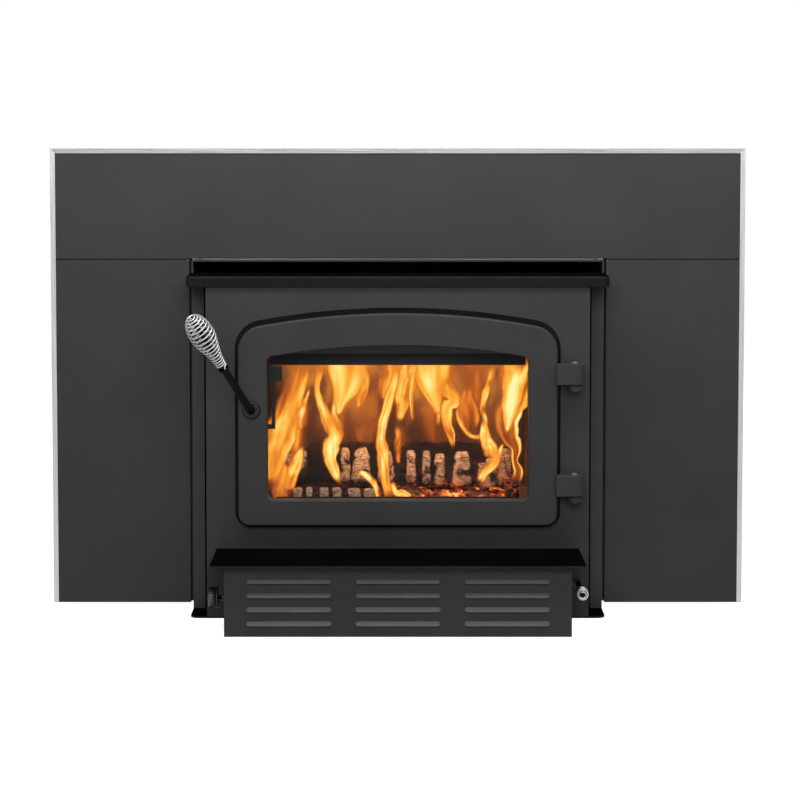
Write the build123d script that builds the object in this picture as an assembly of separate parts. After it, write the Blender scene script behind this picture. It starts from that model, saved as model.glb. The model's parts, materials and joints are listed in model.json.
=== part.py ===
from build123d import *
import math
import os

# A wood-burning fireplace insert with its surround, an arched door and a fan box under the ash lip.
# Millimetres. x runs to the right seen from the room, y into the chimney and z up from the hearth.
# "Reach" is how far a point stands out in front of the surround's face, towards the room.

# ---- overall
overall_depth = 660.0
ash_lip_reach = 211.0
surround_width = 1117.6
surround_top = 750.0
surround_bottom = 13.0
face_y = ash_lip_reach - overall_depth / 2
rear_reach = ash_lip_reach - overall_depth

# ---- clearances
running = 0.06  # shaft in its bore, on the radius
slack = 0.3  # between parts that move past or over each other
fixed = 0.1  # fixed bush in its hole, on the radius

# ---- surround
panel_sheet = 2.0
panel_return = 25.0
panel_joint = 3.0
trim_width = 8.0
trim_sheet = 1.2
trim_depth = 24.0
jacket_to_panel = 4.0
top_panel_gap = 2.5  # over the jacket
strap_height = 44.0
strap_sheet = 3.0
closing_tab = 8.0

# ---- convection jacket, base and shelf
jacket_width = 664.0
jacket_height = 570.0
jacket_sheet = 2.0
jacket_top_sheet = 2.5
strip_width = 19.5
strip_return = 18.0
base_sheet = 3.0
base_corner = 14.0
outlet_height = 18.0
shelf_plate = 4.0
shelf_overhang = 4.0  # past the jacket, each side
shelf_nose = 4.0  # past the front plate
shelf_lip = 18.5
shelf_tail = 20.0
shelf_corner = 9.0
shelf_edge = 5.0

# ---- firebox
front_plate_reach = 62.0
front_plate_inset = 27.0  # from the jacket's side
front_plate_sheet = 5.0
front_plate_return_sheet = 3.0
front_plate_return_end = -6.0
firebox_inset = 70.0  # from the jacket's side
firebox_plate = 5.0
firebox_floor_z = 120.0
firebox_top_drop = 60.0  # from the jacket's top
firebox_rear_gap = 44.0
frame_reach = 38.0
frame_plate = 6.0
frame_foot = 15.0

# ---- flue
flue_bore_r = 76.2
flue_wall = 3.0
flue_height = 97.0
flue_to_rear = 105.0  # from its axis to the firebox's back wall
flue_throat_step = 5.0
flue_gap = 3.0
flue_bead = 2.5
flue_bead_height = 8.0

# ---- door
door_side_margin = 52.0  # to the front plate's edge
door_bottom = 151.5
door_top_margin = 80.4  # to the jacket's top
door_reach = 76.0
door_depth = 34.0
door_arch_r = 1200.0
door_top_corner = 40.0
door_bottom_corner = 18.0
door_edge = 1.8
door_gap_side = 5.6
door_gap_top = 8.4
door_gap_bottom = 4.0
door_side_rail = 45.5
door_bottom_rail = 41.1
door_top_rail = 50.9
window_top_corner = 9.0
window_bottom_corner = 11.0
window_edge = 1.5
least_corner = 2.0
frame_overlap = 2.0  # of the front frame past the rope seal
seat_inset = 2.0  # of the gasket and its edge inside the glass's edge
glass_sheet = 5.0
glass_overlap = 7.5
glass_pocket = 9.0
glass_pocket_depth = 11.5
glass_seal = 2.0
retainer_sheet = 2.0
retainer_edge = 16.0
retainer_corner_gap = 30.0
retainer_foot_inner = 3.0
retainer_foot_outer = 7.0
seal_inset = 4.0
seal_width = 6.0
seal_groove = 5.0

# ---- hinges
hinge_to_door = 27.3
hinge_reach = 77.0
hinge_pin_r = 5.0
hinge_knuckle_r = 13.5
hinge_lug_height = 32.0
hinge_low = 49.0  # from the door's bottom to its lower lug
hinge_high = 111.6  # from the upper lug's bottom to the door's top
hinge_boss = 1.7
hinge_boss_r = 8.5
hinge_bracket_r = 11.3
hinge_bracket_height = 8.0
hinge_pin_head_r = 6.2
hinge_pin_head = 3.6
hinge_pin_tail = 2.5
hinge_pin_dome = 2.4

# ---- latch handle
handle_to_edge = 21.0
handle_rise = 184.5  # over the door's bottom
handle_r = 6.0
handle_bend_reach = 88.0
handle_bend_r = 14.0
handle_way = (-80.0, 98.0, 149.0)  # x, reach and z of the slanted run
handle_run = 97.0
bushing_r = 8.4
bushing_flange_r = 13.2
bushing_flange = 2.4
latch_stud_r = 4.0
latch_cam_reach = 31.0
latch_cam_plate = 7.0
latch_cam_r = 6.8
latch_cam_arm = 22.0
latch_cam_arm_height = 11.0
latch_nut = 5.0
latch_nut_r = 6.8
shield_to_window = 6.5
shield_strip_width = 18.0
shield_below = 34.5  # below the latch shaft
shield_step = 43.0  # above the latch shaft
shield_above = 66.5  # above the latch shaft
shield_wide = 29.0
shield_sheet = 2.0
shield_foot = 5.0
shield_bar = 6.0  # inside the shield's slot
shield_slot_inset = 4.0
shield_hook = 7.5

# ---- wound wire grips
wire = 2.6
wire_bend = 3.2
grip_turns = 15
grip_length = 105.0
grip_neck_r = 7.0
grip_tip_r = 5.6
grip_bulb_r = 20.3
grip_spread = 0.42
grip_collar = 2.4
grip_stud_r = 3.7
pull_turns = 6
pull_length = 33.0
pull_neck_r = 5.6
pull_bulb_r = 8.3
pull_spread = 0.08
grip_shape = 2.0
wire_sides = 5
bulb_fullness = 0.95

# ---- fire bricks, baffle and air tubes
brick_length = 229.0
brick_width = 114.3
brick_thickness = 32.0
brick_joint = 0.6
upright_share = 0.824  # of the height up to the air manifolds
brick_front = 8.0
tube_r = 11.0
tube_wall = 1.5
tube_drop = 62.0  # below the firebox's top
tube_front_reach = -60.0
tube_to_rear = 165.0
tube_count = 3
tube_slots = 3
tube_slot = 110.0
tube_slot_height = 4.0
tube_seat = 10.0
manifold_width = 20.0
manifold_foot = 2.0
manifold_front = -20.0
baffle_thickness = 30.0
baffle_throat = 60.0
baffle_slack = 1.0
deflector_sheet = 2.0
deflector_to_window = 2.5
deflector_top_gap = 14.0
deflector_flange = 14.0
deflector_drop = 8.0
deflector_standoff = 18.0
deflector_fold = 18.7  # below the window's top
deflector_skirt = 16.0
deflector_kick = 12.0

# ---- fuel charge
ember_margin = 25.0  # to the side bricks
ember_front_margin = 58.0
ember_back_margin = 68.0
ember_height = 20.0
log_r = 42.0
log_margin = 20.0  # to the ends of the ember bed
log_sides = 7
log_flat = 0.75  # share of the radius from the axis down to the flat
log_twist = 14.0
front_log_heading = -7.0

# ---- ash lip and fan box
ash_lip_inset = 43.0  # from the jacket's side
ash_lip_z = 112.6
ash_lip_plate = 4.0
ash_lip_corner = 3.0
box_inset = 64.0  # from the jacket's side
box_reach = 197.0
box_sheet = 2.0
louvre_rows = 4
louvre_columns = 3
louvre_end_gap = 35.3
louvre_margin = 33.2
louvre_height = 7.7
louvre_rise = 4.0
louvre_wall = 1.2
louvre_slope = 2.7
louvre_corner = 2.5
louvre_row_pitch = 21.9
louvre_low_z = 20.7

# ---- fan
fan_reach = 128.0
fan_z = 55.0
wheel_r = 32.0
wheel_inner_r = 26.0
wheel_width = 56.0
wheel_to_box_end = 170.0
wheel_ring = 1.5
wheel_hub_r = 9.0
wheel_hub_width = 16.0
blade_count = 14
blade_sheet = 1.0
blade_set = 28.0
blade_depth = 5.2
shaft_r = 4.0
shaft_spare = 3.0
scroll_wall = 1.5
scroll_side_gap = 5.0
scroll_start_r = 36.0
scroll_end_r = 46.0
scroll_duct_top = 45.0
scroll_eye_r = 27.0
motor_r = 38.0
motor_to_scroll = 21.5
motor_cap_r = 30.0
motor_cap = 8.0
cradle_inset = 17.0  # from the motor's ends
cradle_depth = 60.0
cradle_height = 24.0

# ---- speed control
knob_reach = 130.0
knob_z = 48.0
knob_r = 17.0
knob_length = 15.0
knob_gap = 14.0
knob_sides = 20
knob_shaft_r = 3.0
control_case = 30.0
control_case_depth = 22.0
control_neck_r = 5.0
control_nut_r = 8.0
control_nut = 4.5
control_neck = 8.0

# ---- combustion air control
rod_inset = 44.0  # from the jacket's side
rod_z = 57.0
rod_r = 4.0
rod_end_reach = 117.0
guide_r = 7.5
guide_flange_r = 10.0
guide_flange = 2.0
inlet_height = 54.0
inlet_width = 36.0
inlet_sheet = 1.5
inlet_back = -290.0
inlet_front = -130.0
port_length = 60.0
port_height = 34.0
port_middle = -230.0
hex_sides = 6
damper_sheet = 2.0
damper_overlap = 10.0
damper_tab_height = 24.0
damper_gap = 0.6

# ---- sizes that follow
half_surround = surround_width / 2
half_jacket = jacket_width / 2
half_panel_opening = half_jacket + jacket_to_panel
half_front_plate = half_jacket - front_plate_inset
half_firebox = half_jacket - firebox_inset
half_inside = half_firebox - firebox_plate
half_door = half_front_plate - door_side_margin
half_window = half_door - door_side_rail
half_ash_lip = half_jacket - ash_lip_inset
half_box = half_jacket - box_inset
jacket_top_under = jacket_height - jacket_top_sheet
shelf_top = jacket_top_under - outlet_height
shelf_under = shelf_top - shelf_plate
top_panel_z = jacket_height + top_panel_gap
side_panel_top = top_panel_z - panel_joint
frame_back = frame_reach - frame_plate
firebox_top_z = jacket_height - firebox_top_drop
firebox_rear = rear_reach + firebox_rear_gap
flue_reach = firebox_rear + flue_to_rear
door_top = jacket_height - door_top_margin
window_bottom = door_bottom + door_bottom_rail
window_top = door_top - door_top_rail
hinge_x = half_door + hinge_to_door
hinge_lug_bottoms = (door_bottom + hinge_low, door_top - hinge_high)
handle_x = handle_to_edge - half_door
handle_z = door_bottom + handle_rise
door_back = door_reach - door_depth
brick_floor = firebox_floor_z + firebox_plate
brick_top = brick_floor + brick_thickness
box_top = ash_lip_z - ash_lip_plate
glass_front = door_back + glass_pocket_depth - glass_seal
tube_z = firebox_top_z - tube_drop
tube_top = tube_z + tube_r
manifold_low = tube_z - tube_r - manifold_foot
upright_height = upright_share * (manifold_low - brick_top)
hearth_back = firebox_rear + firebox_plate + brick_thickness
ember_back = hearth_back + ember_back_margin
ember_front = brick_front - ember_front_margin
ember_depth = ember_front - ember_back
half_ember = half_inside - brick_thickness - ember_margin
bed_top = brick_top + ember_height
louvre_column_pitch = (2 * half_box - 2 * louvre_margin + louvre_end_gap) / louvre_columns
louvre_length = louvre_column_pitch - louvre_end_gap
wheel_x = half_box - wheel_to_box_end
half_motor = wheel_x - wheel_width / 2 - scroll_side_gap - scroll_wall - motor_to_scroll
rod_x = half_jacket - rod_inset


# ---- helpers
def y_at(reach):
    return face_y - reach


def slab(x0, x1, back, front, z0, z1):
    """A block between two x, two reaches and two heights."""
    centre = Pos((x0 + x1) / 2, y_at((back + front) / 2), (z0 + z1) / 2)
    return centre * Box(x1 - x0, front - back, z1 - z0)


def plate(profile, back, front):
    """A front view, drawn in x and z, carried from one reach to another."""
    return extrude(Plane.XZ.offset(-y_at(back)) * profile, front - back)


def run(profile, x0, x1):
    """A side view, drawn in reach and z, carried from x0 to x1."""
    side = Plane(origin=(x1, face_y, 0), x_dir=(0, -1, 0), z_dir=(-1, 0, 0))
    return extrude(side * profile, x1 - x0)


def tall(profile, z0, z1):
    """A plan, drawn in x and reach, carried from z0 up to z1."""
    plan = Plane(origin=(0, face_y, z1), x_dir=(1, 0, 0), z_dir=(0, 0, -1))
    return extrude(plan * profile, z1 - z0)


def rectangle(a0, a1, b0, b1):
    return Pos((a0 + a1) / 2, (b0 + b1) / 2) * Rectangle(a1 - a0, b1 - b0)


def mirrored(shape):
    return mirror(shape, about=Plane.YZ)


def both(shape):
    """A piece and its mirror image on the other side."""
    return Compound([*shape.solids(), *mirrored(shape).solids()])


def folded(path, sheet):
    """The section of a sheet bent along path, its thickness on the path's left."""
    points = [Vector(*p) for p in path]
    ways = [(b - a).normalized() for a, b in zip(points, points[1:])]
    lefts = [Vector(-w.Y, w.X) for w in ways]
    mitres = [(a + b) * (1 / (1 + a.dot(b))) for a, b in zip(lefts, lefts[1:])]
    far = [p + m * sheet for p, m in zip(points, [lefts[0], *mitres, lefts[-1]])]
    return make_face(Polyline(*[(p.X, p.Y) for p in [*points, *reversed(far)]], close=True))


def arch(half, bottom, top, radius, top_corner, bottom_corner):
    """A front view with straight sides and sill, a shallow arched head and rounded corners."""
    shoulder = top - radius + math.sqrt(radius**2 - half**2)
    legs = Polyline((-half, shoulder), (-half, bottom), (half, bottom), (half, shoulder))
    head = ThreePointArc((half, shoulder), (0, top), (-half, shoulder))
    face = make_face([*legs.edges(), *head.edges()])
    face = fillet(face.vertices().group_by(Axis.Y)[-1], top_corner)
    return fillet(face.vertices().group_by(Axis.Y)[0], bottom_corner)


def door_outline(inset):
    return arch(
        half_door - inset,
        door_bottom + inset,
        door_top - inset,
        door_arch_r - inset,
        max(door_top_corner - inset, least_corner),
        max(door_bottom_corner - inset, least_corner),
    )


def window_outline(growth):
    head_r = door_arch_r - (door_top - window_top)
    return arch(
        half_window + growth,
        window_bottom - growth,
        window_top + growth,
        head_r + growth,
        window_top_corner + growth,
        window_bottom_corner + growth,
    )


def shares(start, end, longest):
    """Equal lengths between start and end, none over longest, with half a joint off each end."""
    count = math.ceil((end - start) / longest)
    step = (end - start) / count
    return [
        (start + i * step + brick_joint / 2, start + (i + 1) * step - brick_joint / 2)
        for i in range(count)
    ]


# ---- surround
def surround_top_panel():
    half = half_surround - trim_sheet
    face = slab(-half, half, -panel_sheet, 0, top_panel_z, surround_top - trim_sheet)
    hem_z = top_panel_z + panel_sheet
    hem = slab(-half_panel_opening, half_panel_opening, -panel_return, 0, top_panel_z, hem_z)
    return face + hem


def surround_right_panel():
    outer = half_surround - trim_sheet
    path = [(outer, 0), (half_panel_opening, 0), (half_panel_opening, -panel_return)]
    return tall(folded(path, panel_sheet), surround_bottom, side_panel_top)


def trim_section(edge, along_z=False):
    """The channel that grips a panel's edge, its web out at edge."""
    lip = edge - trim_width
    path = [(lip, -trim_depth), (edge, -trim_depth), (edge, trim_sheet), (lip, trim_sheet)]
    if along_z:
        path = [(reach, z) for z, reach in reversed(path)]
    return folded(path, trim_sheet)


def mitre_wedge():
    """What the top trim keeps: a bar that narrows downwards at 45 degrees from both top corners."""
    drop = 2 * trim_width
    half = half_surround - drop
    low = surround_top - drop
    top = [(-half_surround, surround_top), (half_surround, surround_top)]
    wedge = make_face(Polyline(*top, (half, low), (-half, low), close=True))
    return plate(wedge, -2 * trim_depth, trim_depth)


def trim_right():
    return tall(trim_section(half_surround), surround_bottom, surround_top) - mitre_wedge()


def trim_top():
    bar = run(trim_section(surround_top, along_z=True), -half_surround, half_surround)
    return bar & mitre_wedge()


def panel_brackets():
    """Straps behind the joints between the top panel and the side panels."""
    x0, x1 = half_panel_opening + panel_sheet + slack, half_surround - trim_width - slack
    middle = top_panel_z - panel_joint / 2
    z0, z1 = middle - strap_height / 2, middle + strap_height / 2
    return both(slab(x0, x1, -panel_sheet - strap_sheet, -panel_sheet, z0, z1))


def closing_strips():
    """Bars that hold the side panels off the jacket and close the gap between them."""
    back, front = -panel_return, -panel_return / 2
    bar = slab(half_jacket, half_panel_opening, back, front, surround_bottom, top_panel_z)
    tab_end = half_panel_opening + closing_tab
    return both(bar + slab(half_panel_opening, tab_end, back, front, side_panel_top, top_panel_z))


# ---- base, jacket and shelf
def base_plate():
    outline = rectangle(-half_jacket, half_jacket, rear_reach, front_plate_reach)
    outline = fillet(outline.vertices().group_by(Axis.Y)[-1], base_corner)
    return tall(outline, 0, base_sheet)


def jacket_right():
    strip_x = half_jacket - strip_width
    path = [(half_jacket, rear_reach), (half_jacket, 0), (strip_x, 0), (strip_x, -strip_return)]
    lower = tall(folded(path, jacket_sheet), base_sheet, shelf_under)
    inner = half_jacket - jacket_sheet
    return lower + slab(inner, half_jacket, rear_reach, 0, shelf_under, jacket_top_under)


def jacket_back():
    half = half_jacket - jacket_sheet
    return slab(-half, half, rear_reach, rear_reach + jacket_sheet, base_sheet, jacket_top_under)


def jacket_top():
    sheet = slab(-half_jacket, half_jacket, rear_reach, 0, jacket_top_under, jacket_height)
    hole = Circle(flue_bore_r + flue_wall + flue_bead + flue_gap)
    return sheet - tall(Pos(0, flue_reach) * hole, jacket_top_under, jacket_height)


def top_shelf():
    """A shelf with a rounded nose over the front plate and a tail under the hot-air outlet."""
    half = half_jacket + shelf_overhang
    nose = front_plate_reach + shelf_nose
    outline = rectangle(-half, half, 0, nose)
    outline = fillet(outline.vertices().group_by(Axis.Y)[-1], shelf_corner)
    body = tall(outline, shelf_top - shelf_lip, shelf_top)
    top_edges = [e for e in body.edges().group_by(Axis.Z)[-1] if e.center().Y < face_y - slack]
    body = fillet(top_edges, shelf_edge)
    wall = shelf_nose - slack
    body -= slab(wall - half, half - wall, -wall, nose - wall, shelf_top - 2 * shelf_lip, shelf_under)
    tail = half_jacket - jacket_sheet - slack
    return body + slab(-tail, tail, -shelf_tail, 0, shelf_under, shelf_top)


# ---- firebox
def firebox_side_walls():
    wall = slab(half_inside, half_firebox, firebox_rear, frame_back, base_sheet, firebox_top_z)
    return Compound([*(wall - air_port()).solids(), *mirrored(wall).solids()])


def air_port():
    """The port through the right-hand wall that the damper covers."""
    z0, z1 = rod_z - port_height / 2, rod_z + port_height / 2
    back, front = port_middle - port_length / 2, port_middle + port_length / 2
    return slab(half_inside - slack, half_firebox + slack, back, front, z0, z1)


def firebox_floor():
    return slab(-half_inside, half_inside, firebox_rear, frame_back, firebox_floor_z, brick_floor)


def firebox_back_wall():
    return slab(-half_inside, half_inside, firebox_rear, brick_back(), brick_floor, firebox_top_z)


def firebox_top_plate():
    over = firebox_top_z + firebox_plate
    top = slab(-half_firebox, half_firebox, firebox_rear, frame_reach, firebox_top_z, over)
    return top - tall(Pos(0, flue_reach) * Circle(flue_bore_r - flue_throat_step), firebox_top_z, over)


def front_frame():
    outer = rectangle(-half_firebox, half_firebox, firebox_floor_z - frame_foot, firebox_top_z)
    return plate(outer - door_outline(seal_inset + seal_width + frame_overlap), frame_back, frame_reach)


def flue_collar():
    low = firebox_top_z + firebox_plate
    outer_r = flue_bore_r + flue_wall
    middle = low + flue_height / 2
    bead = tall(Circle(outer_r + flue_bead), middle, middle + flue_bead_height)
    bead = chamfer(bead.edges(), flue_bead_height / 4)
    bead = Pos(0, y_at(flue_reach) - face_y, 0) * bead
    ring = tall(Pos(0, flue_reach) * Circle(outer_r), low, low + flue_height) + bead
    return ring - tall(Pos(0, flue_reach) * Circle(flue_bore_r), low, low + flue_height)


def scroll_half():
    """Half the clear width inside a scroll."""
    return wheel_width / 2 + scroll_side_gap


def duct_heights():
    """The floor and ceiling of the clear duct that leaves a scroll."""
    return fan_z - scroll_end_r + scroll_wall, scroll_duct_top - scroll_wall


def duct_hole(x):
    """The opening behind a scroll, through the front plate."""
    return rectangle(x - scroll_half(), x + scroll_half(), *duct_heights())


def front_plate():
    """The front the door shuts into, folded back along both sides."""
    back = front_plate_reach - front_plate_sheet
    face = rectangle(-half_front_plate, half_front_plate, base_sheet, shelf_under)
    grow = door_gap_side
    face -= arch(
        half_door + grow,
        door_bottom - door_gap_bottom,
        door_top + door_gap_top,
        door_arch_r + door_gap_top,
        door_top_corner + grow,
        door_bottom_corner + grow,
    )
    for x in (-wheel_x, wheel_x):
        face -= duct_hole(x)
    face -= Pos(rod_x, rod_z) * Circle(guide_r + fixed)
    inner = half_front_plate - front_plate_return_sheet
    side = slab(inner, half_front_plate, front_plate_return_end, back, base_sheet, shelf_under)
    return plate(face, back, front_plate_reach) + side + mirrored(side)


# ---- bricks, baffle and air tubes
def bricks(x_shares, reach_shares, z_shares):
    return Compound(
        [
            solid
            for x0, x1 in x_shares
            for back, front in reach_shares
            for z0, z1 in z_shares
            for solid in slab(x0, x1, back, front, z0, z1).solids()
        ]
    )


def brick_back():
    return firebox_rear + firebox_plate


def floor_bricks():
    across = shares(-half_inside, half_inside, brick_width)
    deep = shares(brick_back(), brick_front, brick_length)
    return bricks(across, deep, [(brick_floor, brick_top)])


def side_bricks():
    deep = shares(brick_back(), brick_front, brick_width)
    upright = [(brick_top, brick_top + upright_height)]
    return both(bricks([(half_inside - brick_thickness, half_inside)], deep, upright))


def back_bricks():
    half = half_inside - brick_thickness
    back = brick_back()
    across = shares(-half, half, brick_width)
    upright = [(brick_top, brick_top + upright_height)]
    return bricks(across, [(back, back + brick_thickness)], upright)


def tube_reaches():
    step = (tube_front_reach - firebox_rear - tube_to_rear) / (tube_count - 1)
    return [tube_front_reach - i * step for i in range(tube_count)]


def air_manifolds():
    """Rails on both side walls that feed the air tubes."""
    inner = half_inside - manifold_width
    rail = slab(inner, half_inside, brick_back(), manifold_front, manifold_low, tube_top)
    for reach in tube_reaches():
        seat = Pos(reach, tube_z) * Circle(tube_r + running)
        rail -= run(seat, inner, inner + tube_seat)
    return both(rail)


def air_tubes():
    """Stainless tubes with a row of air slots towards the door."""
    half = half_inside - manifold_width + tube_seat - slack
    span = 2 * (half_inside - 2 * manifold_width)
    low, high = tube_z - tube_slot_height / 2, tube_z + tube_slot_height / 2
    tubes = []
    for reach in tube_reaches():
        ring = Pos(reach, tube_z) * (Circle(tube_r) - Circle(tube_r - tube_wall))
        tube = run(ring, -half, half)
        for i in range(tube_slots):
            x = span * (i / (tube_slots - 1) - 0.5)
            tube -= slab(x - tube_slot / 2, x + tube_slot / 2, reach, reach + tube_r, low, high)
        tubes += tube.solids()
    return Compound(tubes)


def baffle_boards():
    back = brick_back()
    half = half_inside - baffle_slack
    board = slab(brick_joint / 2, half, back, -baffle_throat, tube_top, tube_top + baffle_thickness)
    return both(board)


def air_wash_deflector():
    """A folded sheet over the opening that sends air down the glass."""
    top = firebox_top_z - deflector_top_gap
    fold = window_top - deflector_fold
    back = frame_back - deflector_standoff
    path = [
        (back + deflector_kick, fold - deflector_skirt),
        (back, fold),
        (back, top - deflector_flange - deflector_drop),
        (frame_back, top - deflector_flange),
        (frame_back, top),
    ]
    half = half_window - deflector_to_window
    return run(folded(path, deflector_sheet), -half, half)


# ---- fuel charge
def ember_bed():
    """A low mound of ash and embers on the floor bricks."""
    middle = ember_front - ember_depth / 2
    layers = []
    for share, rise in ((1.0, 0.0), (0.93, 0.55), (0.7, 1.0)):
        corner = ember_depth * share / 4
        outline = chamfer(Rectangle(2 * half_ember * share, ember_depth * share).vertices(), corner)
        layers.append(Plane(origin=(0, y_at(middle), brick_top + rise * ember_height)) * outline)
    return loft(layers, ruled=True)


def split_log(length, radius, x, reach, heading):
    """A split log with a flat foot, thinner at its ends, lying along heading (degrees from x)."""
    sections = []
    for place, share in ((-0.5, 0.72), (-0.3, 0.96), (0.15, 1.0), (0.5, 0.8)):
        r = radius * share
        section = RegularPolygon(r, log_sides, rotation=90 / log_sides + log_twist * place)
        section -= rectangle(-2 * r, 2 * r, -2 * r, -log_flat * r)
        station = Plane(origin=(place * length, 0, 0), x_dir=(0, 1, 0), z_dir=(1, 0, 0))
        sections.append(station * Pos(0, log_flat * r) * section)
    log = loft([s.faces()[0] for s in sections], ruled=True)
    return Location((x, y_at(reach), bed_top)) * Rotation(0, 0, heading) * log


def firewood_logs():
    """A big log at the back of the bed and a smaller one before it."""
    length = 2 * (half_ember - log_margin)
    rear = split_log(length, log_r, 0, ember_front - 0.68 * ember_depth, 0)
    reach = ember_front - 0.3 * ember_depth
    front = split_log(0.72 * length, 0.8 * log_r, log_r, reach, front_log_heading)
    return Compound([*rear.solids(), *front.solids()])


# ---- door
def door_bore():
    return plate(Pos(handle_x, handle_z) * Circle(bushing_r + fixed), door_back, door_reach)


def lug(bottom):
    """A knuckle on the door's edge, bored for the hinge pin."""
    knuckle = Pos(hinge_x, hinge_reach) * Circle(hinge_knuckle_r)
    near, far = hinge_reach - hinge_knuckle_r, hinge_reach + hinge_knuckle_r
    arm = rectangle(half_door - door_edge, hinge_x, near, far)
    bore = Pos(hinge_x, hinge_reach) * Circle(hinge_pin_r + running)
    return tall(knuckle + arm - bore, bottom, bottom + hinge_lug_height)


def door_frame():
    """The cast door: an arched frame with a glass pocket, a seal groove and two hinge lugs."""
    body = plate(door_outline(0), door_back, door_reach)
    body = chamfer(body.edges().group_by(Axis.Y)[0], door_edge)
    body -= plate(window_outline(0), door_back, door_reach)
    rim = [e for e in body.edges().group_by(Axis.Y)[0] if abs(e.center().X) < half_window + slack]
    rim = [e for e in rim if window_bottom - slack < e.center().Z < window_top + slack]
    body = chamfer(rim, window_edge)
    body -= plate(window_outline(glass_pocket), door_back, door_back + glass_pocket_depth)
    groove = door_outline(seal_inset) - door_outline(seal_inset + seal_width)
    body -= plate(groove, door_back, door_back + seal_groove)
    body -= door_bore()
    for bottom in hinge_lug_bottoms:
        body += lug(bottom)
    return body


def door_glass():
    return plate(window_outline(glass_overlap), glass_front - glass_sheet, glass_front)


def glass_gasket():
    ring = window_outline(glass_overlap - seat_inset) - window_outline(seat_inset)
    return plate(ring, glass_front, glass_front + glass_seal)


def glass_retainers():
    """Four steel bars behind the glass, each with a ridge that bears on it."""
    back = door_back - retainer_sheet
    bar = plate(window_outline(retainer_edge) - window_outline(0), back, door_back)
    ridge = window_outline(retainer_foot_outer) - window_outline(retainer_foot_inner)
    bar += plate(ridge, door_back, glass_front - glass_sheet)
    low, high = window_bottom - retainer_edge, window_top + retainer_edge
    corner = retainer_corner_gap
    x0, x1 = half_window + retainer_edge - corner, half_window + 2 * retainer_edge
    for z0, z1 in ((low - corner, low + corner), (high - 2 * corner, high + corner)):
        cut = slab(x0, x1, back - 1, glass_front, z0, z1)
        bar -= cut + mirrored(cut)
    return bar


def door_seal():
    trim = running
    ring = door_outline(seal_inset + trim) - door_outline(seal_inset + seal_width - trim)
    return plate(ring, frame_reach + slack, door_back + seal_groove)


def handle_bushing():
    tube = plate(Pos(handle_x, handle_z) * Circle(bushing_r), door_back, door_reach)
    rim = door_reach + bushing_flange
    flange = plate(Pos(handle_x, handle_z) * Circle(bushing_flange_r), door_reach, rim)
    flange = chamfer(flange.edges().group_by(Axis.Y)[0], bushing_flange / 3)
    bore = Circle(handle_r + running)
    return tube + flange - plate(Pos(handle_x, handle_z) * bore, door_back, rim)


def latch_shield():
    """A slotted plate beside the glass that keeps logs off the latch, on a foot along the retainer."""
    left = -half_window - shield_to_window
    low, high = handle_z - shield_below, handle_z + shield_above
    strip = rectangle(left, left + shield_strip_width, low, high)
    strip += rectangle(left, left + shield_wide, handle_z + shield_step, high)
    slot_left, slot_right = left + shield_slot_inset, left + shield_strip_width - shield_bar
    strip -= rectangle(slot_left, slot_right, low + shield_hook, handle_z + shield_step)
    face = door_back - 2 * retainer_sheet
    seat = door_back - retainer_sheet
    foot = slab(left, left + shield_foot, face, seat, low, high)
    return plate(strip, face - shield_sheet, face) + foot


# ---- hinges
def hinge_brackets():
    """Brackets on the front plate, each with a boss under its door lug, bored for the pin."""
    nose = Pos(hinge_x, hinge_reach) * Circle(hinge_bracket_r)
    arm_x0, arm_x1 = hinge_x - hinge_bracket_r, hinge_x + hinge_bracket_r
    arm = rectangle(arm_x0, arm_x1, front_plate_reach, hinge_reach)
    boss = Pos(hinge_x, hinge_reach) * Circle(hinge_boss_r)
    bore = Pos(hinge_x, hinge_reach) * Circle(hinge_pin_r + running)
    solids = []
    for bottom in hinge_lug_bottoms:
        boss_top = bottom - slack
        top = boss_top - hinge_boss
        bracket = tall(nose + arm, top - hinge_bracket_height, top) + tall(boss, top, boss_top)
        solids += (bracket - tall(bore, top - hinge_bracket_height, boss_top)).solids()
    return Compound(solids)


def hinge_pins():
    """Dome-headed pins dropped through the lugs into the brackets."""
    centre = Pos(hinge_x, hinge_reach)
    solids = []
    for bottom in hinge_lug_bottoms:
        tail = bottom - slack - hinge_boss - hinge_bracket_height - hinge_pin_tail
        neck = bottom + hinge_lug_height + slack
        pin = tall(centre * Circle(hinge_pin_r), tail, neck)
        head = tall(centre * Circle(hinge_pin_head_r), neck, neck + hinge_pin_head)
        head = chamfer(head.edges().group_by(Axis.Z)[-1], hinge_pin_dome)
        solids += (pin + head).solids()
    return Compound(solids)


# ---- latch handle
def handle_direction():
    x, reach, z = handle_way
    return Vector(x, -reach, z).normalized()


def handle_elbow():
    return Vector(handle_x, y_at(handle_bend_reach), handle_z)


def grip_base():
    return handle_elbow() + handle_direction() * handle_run


def handle_rod():
    """The latch shaft, bent outside the door into the slanted handle, with a stud through the grip."""
    way = handle_direction()
    start = Vector(handle_x, y_at(latch_cam_reach + slack), handle_z)
    shoulder = grip_base()
    path = FilletPolyline(start, handle_elbow(), shoulder, radius=handle_bend_r)
    rod = sweep(Plane(origin=start, z_dir=(0, -1, 0)) * Circle(handle_r), path=path)
    collar_plane = Plane(origin=shoulder - way * grip_collar, z_dir=way)
    rod += extrude(collar_plane * Circle(grip_neck_r + wire / 2), grip_collar)
    rod += extrude(Plane(origin=shoulder, z_dir=way) * Circle(grip_stud_r), grip_length)
    cap_plane = Plane(origin=shoulder + way * grip_length, z_dir=way)
    rod += extrude(cap_plane * Circle(grip_tip_r + wire / 2), grip_collar)
    stud_back = latch_cam_reach - latch_cam_plate - latch_nut - slack
    stud = Pos(handle_x, handle_z) * Circle(latch_stud_r)
    return rod + plate(stud, stud_back, latch_cam_reach + slack)


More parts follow.
